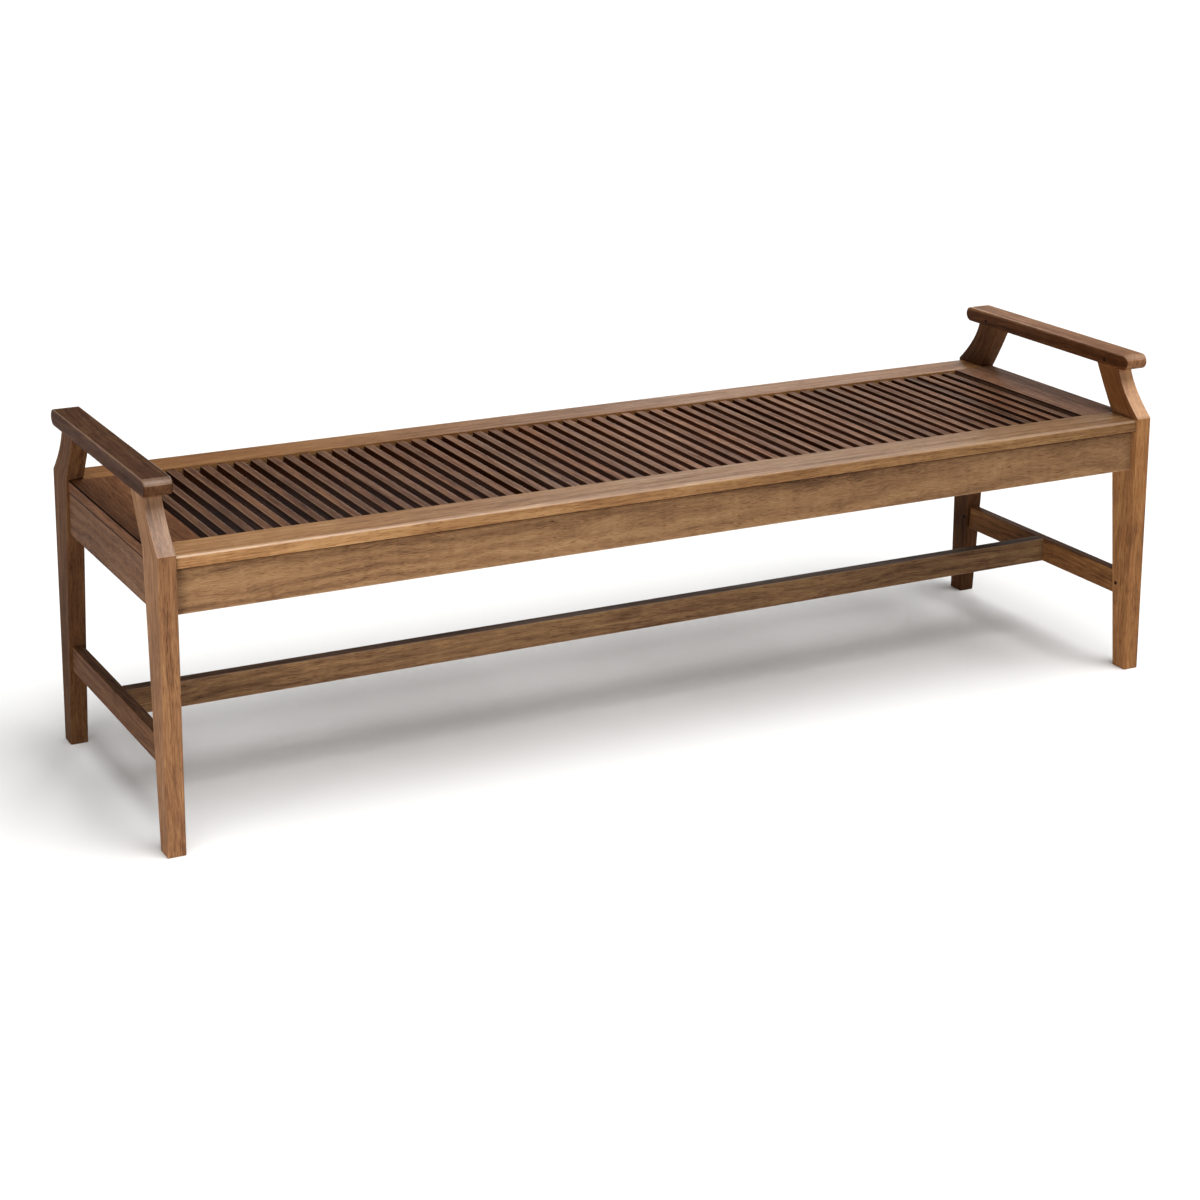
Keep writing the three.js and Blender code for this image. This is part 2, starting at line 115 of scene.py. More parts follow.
def linear(colour: str) -> tuple[float, float, float, float]:
    """Turns an sRGB hex colour into linear RGBA.

    Args:
        colour: The colour as #rrggbb.

    Returns:
        Red, green, blue and an alpha of 1.
    """
    channels = [int(colour[start:start + 2], 16) / 255 for start in (1, 3, 5)]
    flat = [c / 12.92 if c <= 0.04045 else ((c + 0.055) / 1.055) ** 2.4 for c in channels]
    return (flat[0], flat[1], flat[2], 1.0)


def add_node(
    tree: bpy.types.NodeTree,
    kind: str,
    settings: dict[str | int, object] | None = None,
    links: dict[str | int, bpy.types.NodeSocket] | None = None,
) -> bpy.types.Node:
    """Adds one node with its settings and its links.

    Args:
        tree: The tree that the node goes in.
        kind: Blender's name for the node's type.
        settings: Values by input name or number, or by the node's own property name.
        links: The sockets that feed the node, by input name or number.

    Returns:
        The node.
    """
    node = tree.nodes.new(kind)
    for name, value in (settings or {}).items():
        if isinstance(name, int) or name in node.inputs:
            node.inputs[name].default_value = value
        else:
            setattr(node, name, value)
    for name, socket in (links or {}).items():
        tree.links.new(socket, node.inputs[name])
    return node


def new_material(name: str) -> tuple[bpy.types.Material, bpy.types.NodeTree]:
    """Makes an empty node material.

    Args:
        name: The material's name.

    Returns:
        The material and its node tree.
    """
    material = bpy.data.materials.new(name)
    material.use_nodes = True
    material.node_tree.nodes.clear()
    return material, material.node_tree


# ---------------------------------------------------------------- finishes


@dataclass(frozen=True)
class Figure:
    """One pattern in timber: noise that is drawn out along the grain."""

    per_metre: tuple[float, float, float]
    detail: float


STREAK = Figure((4.0, 150.0, 150.0), 5.0)
CLOUD = Figure((2.4, 16.0, 16.0), 2.0)
MOTTLE = Figure((22.0, 95.0, 95.0), 3.0)
RIBBON = Figure((55.0, 14.0, 14.0), 2.0)
# Real fibres and pores are 0.1 to 0.3 mm wide; they are drawn about 1 mm wide so that they show.
FIBRE = Figure((22.0, 700.0, 700.0), 3.0)
PORE = Figure((60.0, 1300.0, 1300.0), 1.0)
# The bends in a board's grain: long sweeps, and shorter wavers on top of them.
SWEEPS_PER_METRE = (2.6, 11.0, 11.0)
WAVERS_PER_METRE = (8.0, 12.0, 12.0)


@dataclass(frozen=True)
class TimberFinish:
    """Teak-like hardwood, planed, sanded and oiled.

    To the eye: a warm brown body with long darker streaks, growth rings that open into arches
    where the board was sawn near them, fine open pores that catch dirt and oil, a soft satin
    sheen, and slightly worn edges painted lighter, partly as real rubbing and partly as a painted
    highlight, with painted shade on some edges instead.
    """

    name: str
    slot: Slot
    shade: str
    body: str
    glow: str
    ring_spacing: float = 7.0 * MM
    ring_strength: float = 0.12
    streak_strength: float = 0.75
    mottle_strength: float = 0.35
    cloud_strength: float = 0.55
    fibre_strength: float = 0.95
    ribbon_strength: float = 0.12
    sweep: float = 30.0 * MM
    swirl: float = 8.0 * MM
    pore_band: tuple[float, float] = (0.60, 0.72)
    pore_dirt: str = "#b59a86"
    # The pale colour screened onto worn edges: partly real rubbing, partly a painted highlight.
    rubbed_and_highlight_glow: str = "#6a5647"
    # The colour that edges with painted shade are multiplied by.
    painted_shade_colour: str = "#4c372a"
    roughness: float = 0.58
    roughness_spread: tuple[float, float] = (0.10, -0.06)
    rubbed_roughness: float = 0.62
    relief_strength: float = 0.35
    relief_depth: float = 0.30 * MM
    shine: float = 0.03
    polish: float = 0.03

    def burnished(self) -> "TimberFinish":
        """The same timber where hands have polished it."""
        return replace(self, name=f"{self.name}_hand_polished", shine=self.polish)

    def material(self) -> bpy.types.Material:
        """Builds the material, or takes the one that was built before.

        Returns:
            The material.
        """
        made = bpy.data.materials.get(self.name)
        if made:
            return made
        material, tree = new_material(self.name)
        grain = add_node(tree, "ShaderNodeAttribute", {"attribute_name": "grain"})
        tint = add_node(tree, "ShaderNodeAttribute", {"attribute_name": "tint"})
        wear_and_painted_light = add_node(tree, "ShaderNodeAttribute", {"attribute_name": "wear_and_painted_light"})
        swept = self._wavered(tree, grain.outputs["Vector"], SWEEPS_PER_METRE, self.sweep)
        warped = self._wavered(tree, swept, WAVERS_PER_METRE, self.swirl)
        streak = self._drawn_out(tree, warped, STREAK)
        fibre = self._drawn_out(tree, warped, FIBRE)
        pore = self._drawn_out(tree, grain.outputs["Vector"], PORE)
        cloud = self._drawn_out(tree, warped, CLOUD)
        # The ring texture's own period is 2 pi / 20 of its scaled coordinate.
        ring_scale = 2 * math.pi / 20 / self.ring_spacing
        rings = add_node(
            tree,
            "ShaderNodeTexWave",
            {"wave_type": "RINGS", "rings_direction": "X", "wave_profile": "SIN", "Scale": ring_scale},
            {"Vector": warped},
        )
        level = self._summed(
            tree,
            (
                (rings.outputs["Fac"], self.ring_strength),
                (streak, self.streak_strength),
                (fibre, self.fibre_strength),
                (cloud, self.cloud_strength),
                (self._drawn_out(tree, warped, MOTTLE), self.mottle_strength),
                (self._drawn_out(tree, warped, RIBBON), self.ribbon_strength),
            ),
        )
        ramp = add_node(tree, "ShaderNodeValToRGB", {}, {"Fac": level})
        self._fill_ramp(ramp.color_ramp)
        pitted = add_node(
            tree,
            "ShaderNodeMapRange",
            {"From Min": self.pore_band[0], "From Max": self.pore_band[1]},
            {"Value": pore},
        ).outputs["Result"]
        rubbed_and_highlit = self._rubbed_and_highlit(tree, wear_and_painted_light.outputs["Fac"], cloud)
        # Painted shade: this mask is 1 on edges marked -1, which are darkened towards the shade
        # colour.
        oiled = add_node(
            tree,
            "ShaderNodeMapRange",
            {"From Min": WearAndPaintedLight.PLAIN.value, "From Max": WearAndPaintedLight.PAINTED_SHADE.value},
            {"Value": wear_and_painted_light.outputs["Fac"]},
        ).outputs["Result"]
        colour = add_node(
            tree,
            "ShaderNodeMix",
            {"data_type": "RGBA", "blend_type": "MULTIPLY", 0: 1.0},
            {6: ramp.outputs["Color"], 7: tint.outputs["Vector"]},
        )
        # Pores are darkened with real dirt, worn edges are screened paler as real rubbing and a
        # painted highlight, and edges with painted shade are darkened.
        for mask, blend, layer in (
            (pitted, "MULTIPLY", self.pore_dirt),
            (rubbed_and_highlit, "SCREEN", self.rubbed_and_highlight_glow),
            (oiled, "MULTIPLY", self.painted_shade_colour),
        ):
            colour = add_node(
                tree,
                "ShaderNodeMix",
                {"data_type": "RGBA", "blend_type": blend, 7: linear(layer)},
                {0: mask, 6: colour.outputs[2]},
            )
        gloss = add_node(
            tree,
            "ShaderNodeMapRange",
            {
                "From Min": 0.3,
                "From Max": 0.7,
                "To Min": self.roughness + self.roughness_spread[0],
                "To Max": self.roughness + self.roughness_spread[1],
            },
            {"Value": streak},
        )
        smoothed = add_node(
            tree,
            "ShaderNodeMapRange",
            {"To Min": 1.0, "To Max": self.rubbed_roughness},
            {"Value": rubbed_and_highlit},
        )
        roughness = add_node(
            tree,
            "ShaderNodeMath",
            {"operation": "MULTIPLY"},
            {0: gloss.outputs["Result"], 1: smoothed.outputs["Result"]},
        )
        # The fibres stand up, the streaks less so, and the pores are pits.
        relief = self._summed(tree, ((fibre, 0.7), (streak, 0.3), (pitted, -0.5)))
        bump = add_node(
            tree,
            "ShaderNodeBump",
            {"Strength": self.relief_strength, "Distance": self.relief_depth},
            {"Height": relief},
        )
        shader = add_node(
            tree,
            "ShaderNodeBsdfPrincipled",
            {"IOR": 1.5, "Specular IOR Level": self.shine},
            {
                "Base Color": colour.outputs[2],
                "Roughness": roughness.outputs[0],
                "Normal": bump.outputs["Normal"],
            },
        )
        add_node(tree, "ShaderNodeOutputMaterial", {}, {"Surface": shader.outputs["BSDF"]})
        return material

    def _wavered(
        self,
        tree: bpy.types.NodeTree,
        grain: bpy.types.NodeSocket,
        per_metre: tuple[float, float, float],
        reach: float,
    ) -> bpy.types.NodeSocket:
        """Bends the grain a few millimetres from side to side along the board.

        Args:
            tree: The material's tree.
            grain: The piece's grain coordinate in metres.
            per_metre: How many bends there are to a metre, along and across the grain.
            reach: How far a bend could go from side to side at most.

        Returns:
            The bent coordinate.
        """
        drift = add_node(tree, "ShaderNodeMapping", {"Scale": per_metre}, {"Vector": grain})
        noise = add_node(
            tree,
            "ShaderNodeTexNoise",
            {"Scale": 1.0, "Detail": 2.0, "Roughness": 0.5},
            {"Vector": drift.outputs["Vector"]},
        )
        centred = add_node(
            tree,
            "ShaderNodeVectorMath",
            {"operation": "SUBTRACT", 1: (0.5, 0.5, 0.5)},
            {0: noise.outputs["Color"]},
        )
        sideways = add_node(
            tree,
            "ShaderNodeVectorMath",
            {"operation": "MULTIPLY", 1: (0.0, reach, reach)},
            {0: centred.outputs["Vector"]},
        )
        bent = add_node(
            tree,
            "ShaderNodeVectorMath",
            {"operation": "ADD"},
            {0: grain, 1: sideways.outputs["Vector"]},
        )
        return bent.outputs["Vector"]

    def _drawn_out(
        self, tree: bpy.types.NodeTree, grain: bpy.types.NodeSocket, figure: Figure
    ) -> bpy.types.NodeSocket:
        """Makes noise that is drawn out along the grain.

        Args:
            tree: The material's tree.
            grain: The coordinate that the noise follows, in metres.
            figure: How many features there are to a metre, and how many finer layers.

        Returns:
            A value about 0.5.
        """
        scaled = add_node(tree, "ShaderNodeMapping", {"Scale": figure.per_metre}, {"Vector": grain})
        noise = add_node(
            tree,
            "ShaderNodeTexNoise",
            {"Scale": 1.0, "Detail": figure.detail, "Roughness": 0.55},
            {"Vector": scaled.outputs["Vector"]},
        )
        return noise.outputs["Fac"]

    def _summed(
        self,
        tree: bpy.types.NodeTree,
        parts: Sequence[tuple[bpy.types.NodeSocket, float]],
    ) -> bpy.types.NodeSocket:
        """Adds patterns that lie about 0.5, each with its own strength.

        Args:
            tree: The material's tree.
            parts: The patterns and their strengths.

        Returns:
            The sum, which lies about 0.5 too.
        """
        total = None
        for pattern, strength in parts:
            offset = 0.5 * (1 - strength) if total is None else -0.5 * strength
            scaled = add_node(
                tree,
                "ShaderNodeMath",
                {"operation": "MULTIPLY_ADD", 1: strength, 2: offset},
                {0: pattern},
            )
            if total is None:
                total = scaled.outputs[0]
                continue
            added = add_node(
                tree,
                "ShaderNodeMath",
                {"operation": "ADD"},
                {0: total, 1: scaled.outputs[0]},
            )
            total = added.outputs[0]
        return total

    def _rubbed_and_highlit(
        self,
        tree: bpy.types.NodeTree,
        wear_and_painted_light: bpy.types.NodeSocket,
        cloud: bpy.types.NodeSocket,
    ) -> bpy.types.NodeSocket:
        """Breaks up the worn, highlighted edges, so that some lengths are paler than others.

        Args:
            tree: The material's tree.
            wear_and_painted_light: 1 where the edge is worn and painted with a highlight, 0 where it
                is plain and -1 where painted shade darkens it.
            cloud: A slow pattern.

        Returns:
            How much the edge is lightened by real rubbing and a painted highlight, from 0 to 1, and
            below 0 where painted shade darkens it.
        """
        uneven = add_node(
            tree, "ShaderNodeMapRange", {"From Min": 0.1, "From Max": 0.6}, {"Value": cloud}
        )
        rubbed_and_highlit = add_node(
            tree,
            "ShaderNodeMath",
            {"operation": "MULTIPLY"},
            {0: wear_and_painted_light, 1: uneven.outputs["Result"]},
        )
        return rubbed_and_highlit.outputs[0]

    def _fill_ramp(self, ramp: bpy.types.ColorRamp) -> None:
        """Sets the colours from the darkest streak to the lightest.

        Args:
            ramp: The colour ramp to fill.
        """
        ramp.elements[0].position = 0.16
        ramp.elements[0].color = linear(self.shade)
        ramp.elements[1].position = 0.86
        ramp.elements[1].color = linear(self.glow)
        middle = ramp.elements.new(0.50)
        middle.color = linear(self.body)


@dataclass(frozen=True)
class SteelFinish:
    """Zinc-plated steel, turned and tumbled: a dull silver with faint cloudy patches."""

    name: str = "zinc_plated_turned_steel"
    slot: Slot = Slot.SCREW
    colour: str = "#b4b6b4"
    patina: str = "#83837e"

    def material(self) -> bpy.types.Material:
        """Builds the material, or takes the one that was built before.

        Returns:
            The material.
        """
        made = bpy.data.materials.get(self.name)
        if made:
            return made
        material, tree = new_material(self.name)
        place = add_node(tree, "ShaderNodeTexCoord")
        cloud = add_node(
            tree,
            "ShaderNodeTexNoise",
            {"Scale": 420.0, "Detail": 3.0},
            {"Vector": place.outputs["Object"]},
        )
        ramp = add_node(tree, "ShaderNodeValToRGB", {}, {"Fac": cloud.outputs["Fac"]})
        ramp.color_ramp.elements[0].position = 0.35
        ramp.color_ramp.elements[0].color = linear(self.patina)
        ramp.color_ramp.elements[1].position = 0.65
        ramp.color_ramp.elements[1].color = linear(self.colour)
        gloss = add_node(
            tree,
            "ShaderNodeMapRange",
            {"To Min": 0.48, "To Max": 0.30},
            {"Value": cloud.outputs["Fac"]},
        )
        bump = add_node(
            tree,
            "ShaderNodeBump",
            {"Strength": 0.2, "Distance": 0.05 * MM},
            {"Height": cloud.outputs["Fac"]},
        )
        shader = add_node(
            tree,
            "ShaderNodeBsdfPrincipled",
            {"Metallic": 1.0},
            {
                "Base Color": ramp.outputs["Color"],
                "Roughness": gloss.outputs["Result"],
                "Normal": bump.outputs["Normal"],
            },
        )
        add_node(tree, "ShaderNodeOutputMaterial", {}, {"Surface": shader.outputs["BSDF"]})
        return material


@dataclass(frozen=True)
class FloorFinish:
    """Matt painted studio floor: near white, with a roller's faint unevenness."""

    name: str = "matt_painted_floor"
    colour: str = "#fdfdfc"
    shade: str = "#f9f9f8"

    def material(self) -> bpy.types.Material:
        """Builds the material.

        Returns:
            The material.
        """
        material, tree = new_material(self.name)
        place = add_node(tree, "ShaderNodeTexCoord")
        cloud = add_node(
            tree, "ShaderNodeTexNoise", {"Scale": 0.8}, {"Vector": place.outputs["Object"]}
        )
        ramp = add_node(tree, "ShaderNodeValToRGB", {}, {"Fac": cloud.outputs["Fac"]})
        ramp.color_ramp.elements[0].color = linear(self.shade)
        ramp.color_ramp.elements[1].color = linear(self.colour)
        shader = add_node(
            tree,
            "ShaderNodeBsdfPrincipled",
            {"Roughness": 0.9, "Specular IOR Level": 0.1},
            {"Base Color": ramp.outputs["Color"]},
        )
        add_node(tree, "ShaderNodeOutputMaterial", {}, {"Surface": shader.outputs["BSDF"]})
        return material


# Each hex triple is the dark streak, the body and the light streak of the oiled wood in that piece.
# The bodies are partly painted sheen: all of it is one teak, and where the grain runs across the
# key's light (the rails) the body is painted lighter, where it runs along it (the slats, end boards
# and armrests) darker.
# Golden brown and nearly straight-grained, with a satin glow on the slants that hands hold, partly
# their polish and partly a painted highlight.
FRONT_LEG_TIMBER = TimberFinish(
    "oiled_burnished_teak_front_legs",
    Slot.LEG,
    "#5e4030",
    "#94694a",
    "#b48a60",
    ring_strength=0.04,
    streak_strength=0.52,
    roughness=0.50,
    polish=0.45,
)
# The same wood with no polish: even, duller brown.
BACK_LEG_TIMBER = TimberFinish(
    "oiled_planed_teak_back_legs", Slot.LEG, "#5e4030", "#94694a", "#b48a60", ring_strength=0.06
)
# Dark chocolate brown, with a soft gleam on the upper arrises, partly polish and partly a painted
# highlight.
ARMREST_TIMBER = TimberFinish(
    "oiled_planed_teak_armrests",
    Slot.ARMREST,
    "#4a3022",
    "#74533d",
    "#977358",
    streak_strength=0.58,
    roughness=0.50,
    polish=0.30,
)
# The lightest and smoothest wood of the bench: honey brown, its lightness partly a painted sheen, with
# a bright line on its round nose that is partly polish and partly a painted highlight.
RAIL_TIMBER = TimberFinish(
    "oiled_planed_teak_rails",
    Slot.RAIL,
    "#7a5334",
    "#a87c50",
    "#c49a68",
    ring_strength=0.05,
    mottle_strength=0.30,
    roughness=0.46,
    shine=0.04,
    polish=0.60,
)
# Reddish dark brown, matt, with faint long streaks.
END_BOARD_TIMBER = TimberFinish(
    "oiled_planed_teak_end_boards", Slot.END_BOARD, "#4b3325", "#735440", "#8f6c52"
)
# Flat-sawn boards: wide rings that swirl and open into arches, on a calm mid brown.
APRON_TIMBER = TimberFinish(
    "oiled_flat_sawn_teak_aprons",
    Slot.APRON,
    "#5c4230",
    "#926c4b",
    "#ad8860",
    ring_spacing=19.0 * MM,
    ring_strength=0.18,
    streak_strength=0.28,
    mottle_strength=0.14,
    cloud_strength=0.54,
    fibre_strength=0.80,
    ribbon_strength=0.20,
    swirl=30.0 * MM,
)
# Dark brown strips, a little shinier than the boards, so that their tops catch the light.
SLAT_TIMBER = TimberFinish(
    "oiled_planed_teak_slats", Slot.SLAT, "#4c3225", "#7a5a46", "#9b7759", shine=0.05
)
# Plain dark brown, matt, with streaks along the rails.
STRETCHER_TIMBER = TimberFinish(
    "oiled_planed_teak_stretchers", Slot.STRETCHER, "#4a3325", "#755740", "#94724f"
)
# End grain that has drunk the oil: nearly black spots with tiny rings.
PEG_TIMBER = TimberFinish(
    "oiled_end_grain_hardwood_pegs", Slot.PEG, "#100906", "#1b100b", "#2b1b12", ring_spacing=1.2 * MM
)
# Plain wood straight from the saw, seen only from below.
HIDDEN_TIMBER = TimberFinish(
    "sawn_teak_inside_the_frame", Slot.HIDDEN, "#52392a", "#7c5c43", "#957455", roughness=0.55
)
STEEL = SteelFinish()


# ---------------------------------------------------------------- shaping


@dataclass
class Grain:
    """How one board was cut from its log."""

    along: Along
    pith: tuple[float, float] = (60 * MM, 45 * MM)
    start: float = 0.0
    tilt: tuple[float, float] = (0.0, 0.0)

    @classmethod
    def drawn(cls, along: Along, dice: random.Random) -> "Grain":
        """Takes a board from a random place in the log.

        Args:
            along: Which way the grain runs.
            dice: The seeded source of chance.

        Returns:
            The board's grain.
        """
        angle = dice.uniform(0, 2 * math.pi)
        distance = dice.uniform(55, 140) * MM
        return cls(
            along,
            (distance * math.cos(angle), distance * math.sin(angle)),
            dice.uniform(0, 30),
            (math.radians(dice.uniform(-1.3, 1.3)), math.radians(dice.uniform(-1.3, 1.3))),
        )

    def coordinate(self, place: Vector, middle: Vector) -> Vector:
        """Where a point of the board was in the log.

        Args:
            place: The point.
            middle: The middle of the board.

        Returns:
            The distance along the log, and the two distances from its pith.
        """
        local = Vector([(place - middle)[axis] for axis in self.along.value])
        local.rotate(Euler((0.0, self.tilt[0], self.tilt[1])))
        return local + Vector((self.start, self.pith[0], self.pith[1]))


# A board sawn close to the pith and a little askew, so that its rings open into arches.
ARCHED_GRAIN = Grain(Along.X, (32 * MM, -8 * MM), 2.4, (0.0, math.radians(2.2)))


class Workpiece:
    """One piece that is being shaped, as a mesh with its grain, its tint and its rubbed edges."""

    def __init__(self) -> None:
        """Starts with nothing."""
        self.mesh = bmesh.new()
        self.mesh.faces.layers.float.new("wear_and_painted_light")
        self.mesh.verts.layers.float_vector.new("grain")
        self.mesh.verts.layers.float_vector.new("tint")

    @classmethod
    def block(cls, low: Vector, high: Vector) -> "Workpiece":
        """A squared block between two corners.

        Args:
            low: The lowest corner.
            high: The highest corner.

        Returns:
            The block.
        """
        piece = cls()
        place = Matrix.Translation((low + high) / 2) @ Matrix.Diagonal((*(high - low), 1.0))
        bmesh.ops.create_cube(piece.mesh, size=1.0, matrix=place)
        return piece

    @classmethod
    def sawn(cls, outline: Sequence[Vector], through: Vector) -> "Workpiece":
        """A flat outline sawn through a thickness.

        Args:
            outline: The corners of the flat face, in order.
            through: The direction and thickness of the board.

        Returns:
            The board.
        """
        piece = cls()
        face = piece.mesh.faces.new([piece.mesh.verts.new(corner) for corner in outline])
        grown = bmesh.ops.extrude_face_region(piece.mesh, geom=[face])["geom"]
        far = [part for part in grown if isinstance(part, bmesh.types.BMVert)]
        bmesh.ops.translate(piece.mesh, verts=far, vec=through)
        bmesh.ops.recalc_face_normals(piece.mesh, faces=piece.mesh.faces[:])
        return piece

    @classmethod
    def round_bar(cls, radius: float, start: Vector, end: Vector, sides: int) -> "Workpiece":
        """A round bar between two points.

        Args:
            radius: The bar's radius.
            start: The middle of one end.
            end: The middle of the other end.
            sides: How many sides it has.

        Returns:
            The bar.
        """
        piece = cls()
        way = end - start
        turn = way.to_track_quat("Z", "Y").to_matrix().to_4x4()
        bmesh.ops.create_cone(
            piece.mesh,
            cap_ends=True,
            segments=sides,
            radius1=radius,
            radius2=radius,
            depth=way.length,
            matrix=Matrix.Translation((start + end) / 2) @ turn,
        )
        return piece

    def edges(self, wanted: Callable[[Vector, Vector], bool]) -> list[bmesh.types.BMEdge]:
        """Finds edges by where they are.

        Args:
            wanted: Takes an edge's middle and its unit direction, and says if it is one.

        Returns:
            The edges.
        """
        found = []
        for edge in self.mesh.edges:
            first, second = (vert.co for vert in edge.verts)
            if wanted((first + second) / 2, (second - first).normalized()):
                found.append(edge)
        return found

    def arrises(self, sharpest: float = 25.0) -> list[bmesh.types.BMEdge]:
        """The edges where two faces meet at an angle.

        Args:
            sharpest: The least angle, in degrees.

        Returns:
            The edges.
        """
        least = math.radians(sharpest)
        return [edge for edge in self.mesh.edges if edge.calc_face_angle(0.0) > least]

    def soften(
        self,
        edges: Sequence[bmesh.types.BMEdge],
        radius: float,
        steps: int,
        wear_and_painted_light: WearAndPaintedLight = WearAndPaintedLight.RUBBED,
    ) -> "Workpiece":
        """Rounds some edges over.

        Args:
            edges: The edges.
            radius: The radius that they are rounded to.
            steps: How many flats make the curve.
            wear_and_painted_light: Whether the new curve is painted paler as real rubbing with a
                painted highlight, left plain, or darkened with painted shade.

        Returns:
            The same piece.
        """
        made = bmesh.ops.bevel(
            self.mesh,
            geom=list(edges),
            offset=radius,
            offset_type="OFFSET",
            affect="EDGES",
            segments=steps,
            profile=0.5,
            material=-1,
            clamp_overlap=True,
        )
        layer = self.mesh.faces.layers.float["wear_and_painted_light"]
        for face in made["faces"]:
            face.normal_update()
            kind = wear_and_painted_light
            # A curve marked for its upper side is painted paler only on the faces that look upwards,
            # where the key's highlight falls.
            if wear_and_painted_light is WearAndPaintedLight.RUBBED_ABOVE:
                kind = WearAndPaintedLight.RUBBED if face.normal.z > UPWARD else WearAndPaintedLight.PLAIN
            face[layer] = kind.value
        return self

    def burnish_and_highlight(
        self, where: Callable[[bmesh.types.BMFace], bool], amount: float
    ) -> "Workpiece":
        """Polishes part of the piece as hands do, and paints it paler there as a highlight.

        Args:
            where: Takes a face and says if it is polished.
            amount: How much, from 0 to 1.

        Returns:
            The same piece.
        """
        layer = self.mesh.faces.layers.float["wear_and_painted_light"]
        for face in self.mesh.faces:
            face.normal_update()
            if where(face):
                face[layer] = max(face[layer], amount)
        return self

    def cut_through(self, height: float) -> "Workpiece":
        """Adds a line round the piece at one height, which carries the grain round a curve.

        Args:
            height: The height.

        Returns:
            The same piece.
        """
        parts = [*self.mesh.verts, *self.mesh.edges, *self.mesh.faces]
        bmesh.ops.bisect_plane(
            self.mesh, geom=parts, plane_co=(0.0, 0.0, height), plane_no=(0.0, 0.0, 1.0)
        )
        return self

    def paint_shading(self, where: Callable[[Vector], bool], tint: Sequence[float]) -> "Workpiece":
        """Paints shading into part of the piece: a tint below 1 paints shade there, a tint above 1
        paints light.

        Args:
            where: Takes a point and says if the shading is painted there.
            tint: What the colour there is multiplied by.

        Returns:
            The same piece.
        """
        layer = self.mesh.verts.layers.float_vector["tint"]
        for vert in self.mesh.verts:
            if where(vert.co):
                vert[layer] = Vector([old * new for old, new in zip(vert[layer], tint)])
        return self

    def cut_from(
        self,
        grain: Grain,
        tint: Sequence[float] = (1.0, 1.0, 1.0),
        drift: float = 1.0,
        straighten: Callable[[Vector], Vector] | None = None,
    ) -> "Workpiece":
        """Writes the grain and the tint on the piece.

        Args:
            grain: How the board was cut.
            tint: What its colour is multiplied by, in linear red, green and blue.
            drift: How much of the tint is left at the far end of the board.
            straighten: Takes a point of a curved piece to its place in the straight one.

        Returns:
            The same piece.
        """
        corners = [vert.co for vert in self.mesh.verts]
        low = Vector([min(corner[axis] for corner in corners) for axis in range(3)])
        high = Vector([max(corner[axis] for corner in corners) for axis in range(3)])
        middle = (low + high) / 2
        grain_layer = self.mesh.verts.layers.float_vector["grain"]
        tint_layer = self.mesh.verts.layers.float_vector["tint"]
        axis = grain.along.value[0]
        for vert in self.mesh.verts:
            place = straighten(vert.co) if straighten else vert.co
            vert[grain_layer] = grain.coordinate(place, middle)
            way_along = (vert.co[axis] - low[axis]) / (high[axis] - low[axis])
            vert[tint_layer] = Vector(tint).lerp(Vector(tint) * drift, way_along)
        return self

    def join(self, other: "Workpiece") -> "Workpiece":
        """Takes another piece into this one's mesh and uses it up.

        Args:
            other: The other piece.

        Returns:
            This piece.
        """
        carrier = bpy.data.meshes.new("carrier")
        other.mesh.to_mesh(carrier)
        other.mesh.free()
        self.mesh.from_mesh(carrier)
        bpy.data.meshes.remove(carrier)
        return self

    def fit(self, name: str, finish: TimberFinish | SteelFinish, *nodes: str) -> bpy.types.Object:
        """Makes the finished object, which stands for one or more CAD nodes.

        Args:
            name: The object's name.
            finish: Its finish.
            *nodes: The CAD nodes that it stands for.

        Returns:
            The object.
        """
        data = bpy.data.meshes.new(name)
        self.mesh.to_mesh(data)
        self.mesh.free()
        data.shade_smooth()
        data.set_sharp_from_angle(angle=math.radians(SMOOTH_BELOW))
        data.materials.append(finish.material())
        if isinstance(finish, TimberFinish) and finish.polish > finish.shine:
            self.polish_worn_faces(data, finish)
        piece = bpy.data.objects.new(name, data)
        bpy.context.scene.collection.objects.link(piece)
        normals = piece.modifiers.new("even_shading", "WEIGHTED_NORMAL")
        normals.keep_sharp = True
        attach(piece, BODY)
        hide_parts(*nodes)
        LOG.info("%s stands for %s, %d faces", name, ", ".join(nodes), len(data.polygons))
        return piece

    def polish_worn_faces(self, data: bpy.types.Mesh, finish: TimberFinish) -> None:
        """Gives the worn faces the polished kind of the piece's finish.

        Args:
            data: The finished mesh.
            finish: The piece's finish.
        """
        wear_and_painted_light = data.attributes["wear_and_painted_light"].data
        worn = [face for face in data.polygons if wear_and_painted_light[face.index].value > WearAndPaintedLight.PLAIN.value]
        if worn:
            data.materials.append(finish.burnished().material())
        for face in worn:
            face.material_index = 1


def runs_along(axis: int) -> Callable[[Vector, Vector], bool]:
    """Tests for edges that run along one axis.

    Args:
        axis: 0, 1 or 2.

    Returns:
        A test for Workpiece.edges.
    """
    return lambda middle, way: abs(way[axis]) > PARALLEL


# ---------------------------------------------------------------- sub-assemblies


